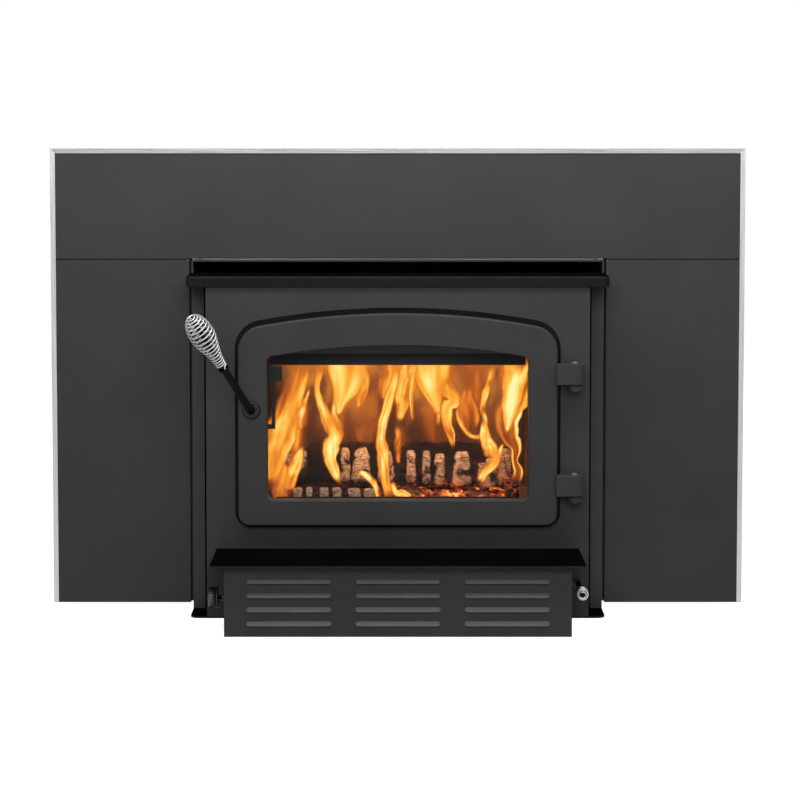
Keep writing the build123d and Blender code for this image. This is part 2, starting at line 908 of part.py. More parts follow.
def latch_cam():
    """The cam that hooks behind the front frame, and the nut that holds it on the shaft."""
    back = latch_cam_reach - latch_cam_plate
    hub = Pos(handle_x, handle_z) * Circle(latch_cam_r)
    half = latch_cam_arm_height / 2
    arm = rectangle(handle_x - latch_cam_arm, handle_x, handle_z - half, handle_z + half)
    arm = fillet(arm.vertices().group_by(Axis.X)[0], half / 2)
    bore = Pos(handle_x, handle_z) * Circle(latch_stud_r + running)
    cam = plate(hub + arm - bore, back, latch_cam_reach)
    nut = Pos(handle_x, handle_z) * RegularPolygon(latch_nut_r, hex_sides) - bore
    return Compound([*cam.solids(), *plate(nut, back - latch_nut, back).solids()])


# ---- wound wire grips
def biarc(p0, t0, p1, t1):
    """Two arcs from p0 to p1 that leave along t0 and arrive along t1."""
    v = p1 - p0
    t = t0 + t1
    k = 2 * (1 - t0.dot(t1))
    reach = (math.sqrt(v.dot(t) ** 2 + k * v.dot(v)) - v.dot(t)) / k
    q0, q1 = p0 + t0 * reach, p1 - t1 * reach
    middle = (q0 + q1) * 0.5
    return [
        Edge.make_tangent_arc(p0, t0, middle),
        Edge.make_tangent_arc(middle, (q1 - q0).normalized(), p1),
    ]


def wound_grip(name, turns, length, neck_r, tip_r, bulb_r, spread):
    """A pear-shaped spring handle of one wire, wound along z, its ends square to the collars."""
    low = wire + wire_bend
    rise = length - 2 * low

    def point(turn):
        t = turn / turns
        s = t - spread * math.sin(2 * math.pi * t) / (2 * math.pi)
        swell = math.sin(math.pi * s**grip_shape) ** bulb_fullness if 0 < s < 1 else 0
        plain_r = neck_r + (tip_r - neck_r) * s
        r = plain_r + (bulb_r - plain_r) * swell
        angle = 2 * math.pi * turn
        return Vector(r * math.cos(angle), r * math.sin(angle), low + rise * s)

    step = 1e-4
    around = Vector(0, 1, 0)
    knots = [(point(0), around)]
    for half_turn in range(1, 2 * turns):
        turn = half_turn / 2
        knots.append((point(turn), (point(turn + step) - point(turn - step)).normalized()))
    knots.append((point(turns), around))
    up = Vector(0, 0, 1)
    first = knots[0][0] - (around + up) * wire_bend
    last = knots[-1][0] + (around + up) * wire_bend
    knots = [(first, up), *knots, (last, up)]
    edges = [Edge.make_line(first - up * wire, first)]
    for (p0, t0), (p1, t1) in zip(knots, knots[1:]):
        edges += biarc(p0, t0, p1, t1)
    edges.append(Edge.make_line(last, last + up * wire))
    section = Plane(origin=first - up * wire) * RegularPolygon(wire / 2, wire_sides)
    print(name, "least gap to itself", round(least_gap(point, turns), 2), "mm")
    return sweep(section, path=Wire(edges))


def least_gap(point, turns):
    """The least gap between neighbouring turns, measured on points of the wire's centre line."""
    per_turn = 72
    line = [point(i / per_turn) for i in range(turns * per_turn + 1)]
    gaps = []
    for i, p in enumerate(line):
        near = line[i + per_turn // 2 : i + 2 * per_turn]
        gaps += [(q - p).length for q in near]
    return min(gaps) - wire


def handle_grip():
    radii = (grip_neck_r, grip_tip_r, grip_bulb_r)
    grip = wound_grip("handle_grip", grip_turns, grip_length, *radii, grip_spread)
    return Plane(origin=grip_base(), z_dir=handle_direction()).location * grip


def air_pull_grip():
    radii = (pull_neck_r, pull_neck_r, pull_bulb_r)
    grip = wound_grip("air_pull_grip", pull_turns, pull_length, *radii, pull_spread)
    return Plane(origin=(rod_x, y_at(rod_end_reach), rod_z), z_dir=(0, -1, 0)).location * grip


# ---- combustion air control
def rod_guide():
    """A flanged guide for the air-control rod, in the front plate."""
    back = front_plate_reach - front_plate_sheet
    centre = Pos(rod_x, rod_z)
    tube = plate(centre * Circle(guide_r), back, front_plate_reach)
    flange = plate(centre * Circle(guide_flange_r), front_plate_reach, front_plate_reach + guide_flange)
    bore = plate(centre * Circle(rod_r + running), back, front_plate_reach + guide_flange)
    return tube + flange - bore


def air_inlet_box():
    """A channel on the right-hand wall, open at both ends, that leads room air to the port."""
    outer = half_firebox + inlet_width
    low, high = rod_z - inlet_height / 2, rod_z + inlet_height / 2
    shell = rectangle(half_firebox, outer, low, high)
    shell -= rectangle(half_firebox, outer - inlet_sheet, low + inlet_sheet, high - inlet_sheet)
    return plate(shell, inlet_back, inlet_front)


def damper_plate():
    """The sliding plate over the port, with the tab that the rod pulls."""
    x0 = half_firebox + damper_gap
    back = port_middle - port_length / 2 - damper_overlap
    front = port_middle + port_length / 2 + damper_overlap
    half = port_height / 2 + damper_overlap / 2
    sheet = slab(x0, x0 + damper_sheet, back, front, rod_z - half, rod_z + half)
    tab_x = half_firebox + inlet_width - inlet_sheet - damper_gap
    half_tab = damper_tab_height / 2
    tab = slab(x0, tab_x, front - damper_sheet, front, rod_z - half_tab, rod_z + half_tab)
    return sheet + tab


def control_rod():
    """The air-control rod from the damper's tab to the stud inside its wire knob."""
    start = port_middle + port_length / 2 + damper_overlap
    centre = Pos(rod_x, rod_z)
    collar = Circle(pull_neck_r + wire / 2)
    rod = plate(centre * Circle(rod_r), start, rod_end_reach)
    tip = rod_end_reach + pull_length
    rod += plate(centre * collar, rod_end_reach - grip_collar, rod_end_reach)
    rod += plate(centre * Circle(grip_stud_r), rod_end_reach, tip)
    return rod + plate(centre * collar, tip, tip + grip_collar)


# ---- ash lip and fan box
def ash_lip():
    outline = rectangle(-half_ash_lip, half_ash_lip, front_plate_reach, ash_lip_reach)
    outline = fillet(outline.vertices().group_by(Axis.Y)[-1], ash_lip_corner)
    return tall(outline, box_top, ash_lip_z)


def box_grille_back():
    return box_reach - box_sheet


def fan_box_top():
    return slab(-half_box, half_box, front_plate_reach, box_grille_back(), box_top - box_sheet, box_top)


def fan_box_base():
    inner = half_box - box_sheet
    return slab(-inner, inner, front_plate_reach, box_grille_back(), 0, box_sheet)


def fan_box_sides():
    top = box_top - box_sheet
    left = slab(-half_box, box_sheet - half_box, front_plate_reach, box_grille_back(), 0, top)
    right = mirrored(left)
    hole = Pos(knob_reach, knob_z) * Circle(control_neck_r + fixed)
    left -= run(hole, -half_box, box_sheet - half_box)
    return Compound([*left.solids(), *right.solids()])


def louvre_hood():
    """One hood: a domed bar on the panel's face, hollow and open along its lower edge."""
    outline = chamfer(Rectangle(louvre_length, louvre_height).vertices(), louvre_corner)
    outer = extrude(Plane.XZ * outline, louvre_rise)
    outer = chamfer(outer.edges().group_by(Axis.Y)[0], louvre_slope)
    depth = louvre_rise - louvre_wall
    hollow = extrude(Plane.XZ * Rectangle(*louvre_slot()), depth)
    mouth = Pos(0, -depth / 2, -louvre_height / 2) * Box(louvre_slot()[0], depth, 2 * louvre_wall)
    return outer - hollow - mouth


def louvre_slot():
    """The width and height of the air slot behind a hood."""
    return louvre_length - louvre_height, louvre_height - 2 * louvre_wall


def fan_box_grille():
    """The panel with rows of hooded louvres, an air slot behind each."""
    panel = slab(-half_box, half_box, box_grille_back(), box_reach, 0, box_top)
    hood = louvre_hood()
    hoods = []
    for row in range(louvre_rows):
        for column in range(louvre_columns):
            x = (column - (louvre_columns - 1) / 2) * louvre_column_pitch
            z = louvre_low_z + row * louvre_row_pitch
            panel -= plate(Pos(x, z) * Rectangle(*louvre_slot()), box_grille_back(), box_reach)
            hoods.append(Pos(x, y_at(box_reach), z) * hood)
    return panel.fuse(*hoods)


# ---- fan
def scroll_outline():
    """The volute seen along the shaft, drawn in reach and z, with its duct running back."""
    centre = Vector(fan_reach, fan_z)

    def at(degrees):
        share = (180 - degrees) / 270
        r = scroll_start_r + (scroll_end_r - scroll_start_r) * share
        return centre + Vector(math.cos(math.radians(degrees)), math.sin(math.radians(degrees))) * r

    arcs = [ThreePointArc(at(a), at(a + 45), at(a + 90)) for a in (-90, 0, 90)]
    start, end = at(-90), at(180)
    duct = front_plate_reach
    tail = Polyline(end, (end.X, scroll_duct_top), (duct, scroll_duct_top), (duct, start.Y), start)
    return make_face([*[e for arc in arcs for e in arc.edges()], *tail.edges()])


def scroll(x):
    outline = scroll_outline()
    low, high = duct_heights()
    duct = rectangle(front_plate_reach, fan_reach - scroll_start_r, low, high)
    half = scroll_half()
    x0, x1 = x - half - scroll_wall, x + half + scroll_wall
    housing = run(outline, x0, x1) - run(offset(outline, -scroll_wall) + duct, x - half, x + half)
    return housing - run(Pos(fan_reach, fan_z) * Circle(scroll_eye_r), x0, x1)


def fan_scrolls():
    return Compound([*scroll(-wheel_x).solids(), *scroll(wheel_x).solids()])


def wheel(x):
    """A squirrel-cage wheel: a centre disc with its hub, two end rings and forward-set blades."""
    axis = Pos(fan_reach, fan_z)
    half = wheel_width / 2
    ring = axis * (Circle(wheel_r) - Circle(wheel_inner_r))
    disc = axis * (Circle(wheel_r) - Circle(shaft_r))
    hub = axis * (Circle(wheel_hub_r) - Circle(shaft_r))
    body = run(disc, x - wheel_ring / 2, x + wheel_ring / 2)
    body += run(hub, x - wheel_hub_width / 2, x + wheel_hub_width / 2)
    pieces = [*body.solids()]
    for end in (x - half, x + half - wheel_ring):
        pieces += run(ring, end, end + wheel_ring).solids()
    middle_r = (wheel_r + wheel_inner_r) / 2
    blade = Rectangle(blade_depth, blade_sheet)
    for i in range(blade_count):
        place = Rot(0, 0, 360 * i / blade_count) * Pos(middle_r, 0) * Rot(0, 0, blade_set)
        pieces += run(axis * place * blade, x - half + wheel_ring, x - wheel_ring / 2).solids()
        pieces += run(axis * place * blade, x + wheel_ring / 2, x + half - wheel_ring).solids()
    return pieces


def fan_wheels():
    return Compound([*wheel(-wheel_x), *wheel(wheel_x)])


def fan_shaft():
    half = wheel_x + wheel_width / 2 + shaft_spare
    return run(Pos(fan_reach, fan_z) * Circle(shaft_r), -half, half)


def fan_motor():
    """The motor's can and end caps, bored for the shaft."""
    half = half_motor
    axis = Pos(fan_reach, fan_z)
    can = run(axis * Circle(motor_r), -half + motor_cap, half - motor_cap)
    caps = run(axis * Circle(motor_cap_r), -half, half)
    return can + caps - run(axis * Circle(shaft_r + running), -half, half)


def motor_cradle():
    """The saddle that the motor is strapped to, on the box's base."""
    half = half_motor - cradle_inset
    back, front = fan_reach - cradle_depth / 2, fan_reach + cradle_depth / 2
    block = slab(-half, half, back, front, box_sheet, box_sheet + cradle_height)
    return block - run(Pos(fan_reach, fan_z) * Circle(motor_r), -half, half)


# ---- speed control
def speed_control():
    """The speed control's case inside the box's left side, its threaded neck and nut."""
    side = -half_box
    axis = Pos(knob_reach, knob_z)
    inner = side + box_sheet
    half = control_case / 2
    back, front = knob_reach - half, knob_reach + half
    case = slab(inner, inner + control_case_depth, back, front, knob_z - half, knob_z + half)
    neck_end = side - control_neck
    neck = run(axis * Circle(control_neck_r), neck_end, inner)
    bore = run(axis * Circle(knob_shaft_r + running), neck_end, inner + control_case_depth / 2)
    hexagon = RegularPolygon(control_nut_r, hex_sides) - Circle(control_neck_r)
    return case + neck - bore + run(axis * hexagon, side - control_nut, side)


def speed_knob():
    """A faceted knob on its shaft."""
    axis = Pos(knob_reach, knob_z)
    inner = -half_box - knob_gap
    outer = inner - knob_length
    grip = run(axis * RegularPolygon(knob_r, knob_sides), outer, inner)
    shaft_end = box_sheet - half_box + control_case_depth / 2 - slack
    return grip + run(axis * Circle(knob_shaft_r), inner, shaft_end)


# ---- every sub-part, by the name of its node
NODES = {
    "base_plate": base_plate,
    "firebox_side_walls": firebox_side_walls,
    "firebox_floor": firebox_floor,
    "firebox_back_wall": firebox_back_wall,
    "firebox_top_plate": firebox_top_plate,
    "front_frame": front_frame,
    "front_plate": front_plate,
    "jacket_left": lambda: mirrored(jacket_right()),
    "jacket_right": jacket_right,
    "jacket_back": jacket_back,
    "jacket_top": jacket_top,
    "top_shelf": top_shelf,
    "flue_collar": flue_collar,
    "surround_top_panel": surround_top_panel,
    "surround_left_panel": lambda: mirrored(surround_right_panel()),
    "surround_right_panel": surround_right_panel,
    "trim_top": trim_top,
    "trim_left": lambda: mirrored(trim_right()),
    "trim_right": trim_right,
    "panel_brackets": panel_brackets,
    "closing_strips": closing_strips,
    "floor_bricks": floor_bricks,
    "side_bricks": side_bricks,
    "back_bricks": back_bricks,
    "baffle_boards": baffle_boards,
    "air_tubes": air_tubes,
    "air_manifolds": air_manifolds,
    "air_wash_deflector": air_wash_deflector,
    "ember_bed": ember_bed,
    "firewood_logs": firewood_logs,
    "door_frame": door_frame,
    "door_glass": door_glass,
    "glass_gasket": glass_gasket,
    "glass_retainers": glass_retainers,
    "door_seal": door_seal,
    "handle_bushing": handle_bushing,
    "latch_shield": latch_shield,
    "hinge_brackets": hinge_brackets,
    "hinge_pins": hinge_pins,
    "handle_rod": handle_rod,
    "handle_grip": handle_grip,
    "latch_cam": latch_cam,
    "rod_guide": rod_guide,
    "air_inlet_box": air_inlet_box,
    "damper_plate": damper_plate,
    "control_rod": control_rod,
    "air_pull_grip": air_pull_grip,
    "ash_lip": ash_lip,
    "fan_box_top": fan_box_top,
    "fan_box_base": fan_box_base,
    "fan_box_sides": fan_box_sides,
    "fan_box_grille": fan_box_grille,
    "fan_scrolls": fan_scrolls,
    "fan_wheels": fan_wheels,
    "fan_shaft": fan_shaft,
    "fan_motor": fan_motor,
    "motor_cradle": motor_cradle,
    "speed_control": speed_control,
    "speed_knob": speed_knob,
}

os.makedirs("parts", exist_ok=True)
for node, make in NODES.items():
    export_step(make(), f"parts/{node}.step")
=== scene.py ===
import json
import random
from math import asin, atan2, copysign, cos, exp, hypot, pi, radians, sin, sqrt

import bpy
import numpy as np
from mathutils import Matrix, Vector, noise

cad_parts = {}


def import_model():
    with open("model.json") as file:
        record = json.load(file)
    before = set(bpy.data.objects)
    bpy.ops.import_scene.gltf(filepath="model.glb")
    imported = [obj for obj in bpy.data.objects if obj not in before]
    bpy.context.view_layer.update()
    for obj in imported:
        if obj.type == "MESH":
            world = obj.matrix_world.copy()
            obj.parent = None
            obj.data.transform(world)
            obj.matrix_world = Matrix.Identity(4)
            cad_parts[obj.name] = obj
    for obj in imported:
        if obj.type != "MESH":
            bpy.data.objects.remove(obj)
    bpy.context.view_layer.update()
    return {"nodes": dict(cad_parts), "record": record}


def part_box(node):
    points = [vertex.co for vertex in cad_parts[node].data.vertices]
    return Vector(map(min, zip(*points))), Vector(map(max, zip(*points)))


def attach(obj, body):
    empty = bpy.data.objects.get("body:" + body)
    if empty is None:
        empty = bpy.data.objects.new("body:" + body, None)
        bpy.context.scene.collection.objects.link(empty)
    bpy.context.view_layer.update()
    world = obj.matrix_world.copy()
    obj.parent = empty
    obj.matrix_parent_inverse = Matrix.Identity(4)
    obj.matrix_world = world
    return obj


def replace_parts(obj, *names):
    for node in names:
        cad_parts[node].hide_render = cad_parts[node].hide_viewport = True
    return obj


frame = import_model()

# A wood-burning fireplace insert with a fire in it, in the CAD's frame: x to the right seen from the
# room, y into the chimney, z up. "Reach" is a distance in front of the surround's face. Meshes are
# worked out in millimetres. Cameras, lamps and materials are in metres.
FACE_Y = -0.119
MM = 0.001
FRONT, BACK, UP = Vector((0, -1, 0)), Vector((0, 1, 0)), Vector((0, 0, 1))
nodes = frame["nodes"]
scene = bpy.context.scene


def at(x, reach, z):
    """A point given in millimetres: x, reach and height."""
    return Vector((x * MM, FACE_Y - reach * MM, z * MM))


def add_object(name, data):
    thing = bpy.data.objects.new(name, data)
    scene.collection.objects.link(thing)
    return thing


# ---- camera
CAMERA_TILT = 3.7    # degrees down


def add_camera():
    data = bpy.data.cameras.new("camera")
    data.lens, data.sensor_width = 101.9, 36
    data.shift_x, data.shift_y = 0.0085, -0.1516
    data.clip_start, data.clip_end = 0.1, 100
    camera = add_object("camera", data)
    camera.location = (-0.0073, -3.7611, 0.7757)
    camera.rotation_euler = (radians(90 - CAMERA_TILT), 0, 0)
    scene.camera = camera


add_camera()


# ---- node trees
class Graph:
    """The node tree of a material or a world, with short calls for the nodes used here."""

    def __init__(self, owner):
        owner.use_nodes = True
        self.tree = owner.node_tree
        self.tree.nodes.clear()

    def put(self, socket, value):
        if hasattr(value, "is_output"):
            self.tree.links.new(value, socket)
        elif socket.type == "RGBA":
            socket.default_value = (*value, 1)
        else:
            socket.default_value = value

    def new(self, kind):
        return self.tree.nodes.new("ShaderNode" + kind)

    def node(self, kind, inputs, output=0, **settings):
        """A new node with these settings and inputs. Gives one of its outputs."""
        node = self.new(kind)
        for key, value in settings.items():
            setattr(node, key, value)
        for key, value in inputs.items():
            self.put(node.inputs[key], value)
        return node.outputs[output]

    def math(self, operation, *values):
        return self.node("Math", dict(enumerate(values)), operation=operation)

    def seen(self):
        """1 for rays that show a thing, also mirrored or through glass, and 0 for those that only light."""
        rays = self.new("LightPath").outputs
        mirrored = self.math("MAXIMUM", rays["Is Glossy Ray"], rays["Is Transmission Ray"])
        return self.math("MAXIMUM", rays["Is Camera Ray"], mirrored)


class Look(Graph):
    """A new material with one principled shader."""

    SOCKETS = {
        "color": "Base Color", "rough": "Roughness", "metal": "Metallic", "normal": "Normal", "ior": "IOR",
        "emission": "Emission Color", "glow": "Emission Strength", "specular": "Specular IOR Level",
        "sheen": "Sheen Weight", "alpha": "Alpha",
    }
    USUAL = 0.3, 0.7    # a noise lies mostly between these

    def __init__(self, name):
        self.material = bpy.data.materials.new(name)
        super().__init__(self.material)
        self.output = self.new("OutputMaterial")
        self.shader = self.new("BsdfPrincipled")
        self.put(self.output.inputs[0], self.shader.outputs[0])
        self.where = self.node("TexCoord", {}, "Object")

    def set(self, **values):
        """Feed the shader. Gives the material."""
        for key, value in values.items():
            self.put(self.shader.inputs[self.SOCKETS[key]], value)
        return self.material

    def plus(self, a, b):
        return self.math("ADD", a, b)

    def times(self, a, *others):
        for b in others:
            a = self.math("MULTIPLY", a, b)
        return a

    def absolute(self, value):
        return self.math("ABSOLUTE", value)

    def stretch(self, scale, vector=None):
        return self.node("Mapping", {"Scale": scale, "Vector": vector or self.where})

    def noise(self, scale, detail=3, rough=0.5, vector=None, distortion=0):
        inputs = {"Scale": scale, "Detail": detail, "Roughness": rough, "Distortion": distortion}
        return self.node("TexNoise", {**inputs, "Vector": vector or self.where}, "Fac")

    def voronoi(self, scale, feature="F1", vector=None, output="Distance"):
        inputs = {"Scale": scale, "Vector": vector or self.where}
        return self.node("TexVoronoi", inputs, output, feature=feature)

    def remap(self, value, low, high, to_low=0, to_high=1, kind="SMOOTHSTEP"):
        inputs = {"Value": value, "From Min": low, "From Max": high, "To Min": to_low, "To Max": to_high}
        return self.node("MapRange", inputs, interpolation_type=kind)

    def spread(self, value, low=0, high=1):
        """A noise drawn out to run from low to high."""
        return self.remap(value, *self.USUAL, low, high)

    def cloud(self, scale, detail, *ends):
        return self.spread(self.noise(scale, detail), *ends)

    def ramp(self, value, *stops):
        """Colours at places along 0 to 1."""
        node = self.new("ValToRGB")
        elements = node.color_ramp.elements
        while len(elements) < len(stops):
            elements.new(0.5)
        for element, (place, color) in zip(elements, stops):
            element.position = place
            element.color = (*color, 1)
        self.put(node.inputs[0], value)
        return node.outputs[0]

    def mix(self, factor, a, b):
        return self.node("Mix", {"Factor": factor, 6: a, 7: b}, 2, data_type="RGBA")

    def bump(self, height, depth, strength, normal=None):
        inputs = {"Height": height, "Distance": depth, "Strength": strength}
        if normal:
            inputs["Normal"] = normal
        return self.node("Bump", inputs)

    def soft_edge(self, radius):
        """The normal with its sharp edges rounded off."""
        return self.node("Bevel", {"Radius": radius}, samples=4)

    def grain(self, scale, depth, edge):
        return self.bump(self.noise(scale, 3, 0.6), depth, 0.6, self.soft_edge(edge))

    def flat(self):
        return self.node("NewGeometry", {}, "Normal")

    def worn_edge(self, rounded):
        """1 on sharp edges and 0 on flats."""
        likeness = self.node("VectorMath", {0: rounded, 1: self.flat()}, "Value", operation="DOT_PRODUCT")
        return self.remap(likeness, 0.995, 0.85)

    def facing_up(self):
        """1 on faces that look up, 0 on upright ones and -1 on those that look down."""
        return self.node("SeparateXYZ", {0: self.flat()}, "Z")

    def axis(self, name):
        return self.node("SeparateXYZ", {0: self.where}, name)

    def attribute(self, name):
        return self.node("Attribute", {}, "Fac", attribute_name=name)


def grey(level, blue=0):
    return (level, level, level + blue)


def around(color, share):
    """The colour made darker and lighter by a share."""
    return (tuple(c * (1 + s) for c in color) for s in (-share, share))


# ---- looks
def painted(name, dark, light, grain, depth, rough, edge=0.0012, gloss=0.1, blue=0.0002):
    """Baked-on satin paint: fine orange peel, slow changes of shade, edges a little rubbed."""
    g = Look(name)
    dark, light = grey(dark, blue), grey(light, blue)
    rounded = g.soft_edge(edge)
    tone = g.plus(g.times(g.noise(7, 4), 0.6), g.times(g.noise(420, 2), 0.4))
    rubbed = g.times(g.worn_edge(rounded), g.remap(g.noise(60), 0.35, 0.7, 0.25, 0.8))
    bare = tuple(1.3 * c for c in light)
    return g.set(
        color=g.mix(rubbed, g.mix(g.spread(tone), dark, light), bare),
        rough=g.cloud(35, 3, rough - 0.05, rough + 0.06), specular=gloss,
        normal=g.bump(g.noise(grain, 3, 0.6), depth, 0.6, rounded),
    )


def black_shaded_on_top(name, front):
    """Black paint with painted shade: faces that look up are painted darker and lose their sheen."""
    g = Look(name)
    # top: the mask of faces that look up, which get painted shade and no sheen
    top = g.remap(g.facing_up(), 0.3, 0.95)
    tone = g.times(g.cloud(8, 4, 0.8, 1.2), g.cloud(420, 2, 0.9, 1.1))
    shade = g.mix(top, (front, front, 0.97 * front), (0.0019, 0.0017, 0.0015))
    return g.set(
        color=g.node("VectorMath", {0: shade, "Scale": tone}, operation="SCALE"),
        rough=g.cloud(35, 3, 0.47, 0.58), specular=g.remap(top, 0, 1, 0.08, 0),
        normal=g.grain(1100, 0.00004, 0.0012),
    )


# The height of the deflector's lower and upper edge, and its greys from the one to the other: painted shade,
# darkest in its fold and at its top.
DEFLECTOR_Z = 0.402, 0.445
PAINTED_SHADE_GREYS = [
    (0, 0.034), (0.22, 0.026), (0.38, 0.012), (0.42, 0.004), (0.48, 0.026), (0.66, 0.017), (0.97, 0.004),
]


def shade_painted_steel():
    """Thin steel over the fire with painted shade: lighter low in each band, dark in its fold and at its top,
    darker towards both ends.
    """
    g = Look("deflector_steel")
    high = g.remap(g.axis("Z"), *DEFLECTOR_Z, kind="LINEAR")
    shade = g.ramp(high, *((place, grey(level)) for place, level in PAINTED_SHADE_GREYS))
    # soot here is painted shade: darker towards both ends, with a little cloud in it
    sides = g.remap(g.absolute(g.axis("X")), 0.05, 0.2, 0, 0.7)
    soot = g.times(sides, g.cloud(40, 4, 0.75, 1))
    return g.set(
        color=g.mix(soot, shade, grey(0.004)), rough=g.cloud(35, 3, 0.42, 0.52), specular=0.3,
        normal=g.grain(500, 0.00005, 0.0008),
    )


def brushed(name, base, scale, rough):
    """Metal with fine lines along one direction, the one with the small scale."""
    g = Look(name)
    lines = g.noise(1, 3, 0.6, g.stretch(scale))
    return g.set(
        color=g.mix(g.spread(lines), *around(base, 0.12)), metal=1,
        rough=g.remap(lines, 0.25, 0.75, rough - 0.07, rough + 0.09),
        normal=g.bump(lines, 0.00002, 0.25, g.soft_edge(0.0004)),
    )


def satin_nickel():
    """Plated wire with faint cloudy changes of shade and gloss."""
    g = Look("satin_nickel")
    return g.set(
        color=g.mix(g.cloud(90, 4), *around((0.4, 0.4, 0.395), 0.05)), metal=1,
        rough=g.cloud(240, 3, 0.37, 0.49), normal=g.bump(g.noise(1500, 2), 0.00001, 0.4),
    )


def zinc():
    """Galvanised steel with its spangle."""
    g = Look("zinc")
    tone = g.new("SeparateColor")
    g.put(tone.inputs[0], g.voronoi(160, output="Color"))
    return g.set(
        color=g.mix(tone.outputs[0], (0.36, 0.38, 0.4), (0.62, 0.64, 0.66)), metal=1,
        rough=g.remap(tone.outputs[1], 0, 1, 0.35, 0.6), normal=g.bump(g.noise(600, 2), 0.00002, 0.5),
    )


def heat_tinted():
    """Stainless steel that the fire has coloured straw, brown and blue."""
    g = Look("heat_tinted_steel")
    straw, brown, blue, pale = (0.32, 0.27, 0.22), (0.2, 0.13, 0.09), (0.12, 0.12, 0.17), (0.3, 0.28, 0.26)
    tint = g.noise(14, 3, 0.55, distortion=0.6)
    return g.set(
        color=g.ramp(tint, (0.3, straw), (0.5, brown), (0.62, blue), (0.8, pale)), metal=1,
        rough=g.cloud(180, 3, 0.3, 0.5),
        normal=g.bump(g.noise(700, 2), 0.00003, 0.5, g.soft_edge(0.0006)),
    )


def fire_brick():
    """Porous tan brick, sooted in clouds, with pale and dark grains and chipped edges."""
    g = Look("fire_brick")
    rounded = g.soft_edge(0.002)
    soot = g.times(g.remap(g.noise(9, 5, 0.6), 0.38, 0.66), 0.75)
    grains = g.voronoi(330)
    body = g.mix(g.cloud(60, 4), (0.36, 0.2, 0.11), (0.5, 0.32, 0.19))
    body = g.mix(g.remap(grains, 0, 0.25, 0.7, 0), body, (0.62, 0.5, 0.36))
    height = g.plus(g.noise(260, 5, 0.65), g.times(grains, 0.8))
    return g.set(
        color=g.mix(soot, body, (0.06, 0.035, 0.022)), rough=0.93, specular=0.2,
        normal=g.bump(height, 0.0012, 0.8, rounded),
    )


def mineral_board():
    """Pressed mineral board with short fibres and scorch marks."""
    g = Look("mineral_board")
    fibres = g.noise(1, 4, 0.6, g.stretch((90, 500, 300)))
    scorch = g.remap(g.noise(12, 4), 0.45, 0.7)
    body = g.mix(g.spread(fibres), (0.42, 0.36, 0.28), (0.6, 0.55, 0.45))
    return g.set(
        color=g.mix(scorch, body, (0.12, 0.08, 0.05)), rough=0.95, specular=0.15,
        normal=g.bump(fibres, 0.0008, 0.7),
    )


def moulded_plastic():
    """Black plastic with a painted sheen: glossy on upright faces and none on faces that look up or down."""
    g = Look("knob_plastic")
    # upright: the mask of the painted sheen round the knob's middle
    upright = g.remap(g.absolute(g.facing_up()), 0.85, 0.2)
    return g.set(
        color=g.mix(g.cloud(300, 2), grey(0.004), grey(0.006, 0.0001)), specular=g.times(upright, 0.66),
        rough=g.cloud(80, 2, 0.42, 0.5), normal=g.bump(g.noise(1400, 2), 0.00003, 0.6),
    )


def ceramic_glass():
    """Clear pane with a faint film. Seen flat it hides more of what is behind it."""
    g = Look("window_glass")
    slant = g.node("LayerWeight", {"Blend": 0.35}, "Facing")
    film = g.remap(g.noise(22, 4, 0.6), 0.4, 0.75, 0, 0.02)
    return g.set(
        color=(0.012, 0.011, 0.01), rough=0.03, ior=1.45, normal=g.bump(g.noise(9, 2), 0.00002, 0.3),
        alpha=g.plus(g.remap(slant, 0, 1, 0.1, 0.75), film),
    )


def glass_rope():
    """Knitted glass-fibre rope, dark with soot."""
    g = Look("glass_rope")
    knit = g.noise(900, 3, 0.6)
    return g.set(
        color=g.mix(g.spread(knit), (0.03, 0.03, 0.028), (0.11, 0.105, 0.095)), rough=0.95, sheen=0.3,
        normal=g.bump(knit, 0.0004, 0.8),
    )


def charred_wood():
    """Burnt wood: tan where the attribute pale is high, which holds ash and painted light, char elsewhere,
    black cracks, a few embers.
    """
    g = Look("charred_wood")
    grain = g.noise(1, 5, 0.65, g.stretch((140, 140, 520)))
    patches = g.times(g.math("SUBTRACT", g.noise(75, 4, 0.6), 0.5), 1.5)
    ash_and_painted_light = g.remap(g.plus(g.attribute("pale"), patches), 0.22, 0.62)
    cracks = g.voronoi(105, "DISTANCE_TO_EDGE", g.stretch((0.8, 0.8, 1.5)))
    tan = g.mix(g.spread(grain), (0.42, 0.21, 0.12), (0.95, 0.64, 0.42))
    char = g.mix(g.remap(grain, 0.35, 0.65), (0.008, 0.005, 0.004), (0.05, 0.028, 0.02))
    body = g.mix(g.remap(cracks, 0, 0.045, 1, 0), g.mix(ash_and_painted_light, char, tan), (0.012, 0.007, 0.005))
    alive = g.times(g.attribute("hot"), g.remap(g.axis("X"), -0.04, 0.03, 0.06, 0.6))
    hot = g.times(alive, g.remap(cracks, 0, 0.07, 1, 0), g.remap(g.noise(38, 2), 0.42, 0.62))
    glow = g.ramp(hot, (0, grey(0)), (0.45, (0.55, 0.06, 0.005)), (1, (1, 0.36, 0.05)))
    height = g.plus(g.remap(cracks, 0, 0.08), g.times(grain, 0.5))
    g.set(color=body, rough=0.95, specular=0.15, emission=glow, glow=2.2)
    return g.set(normal=g.bump(height, 0.0022, 0.9))


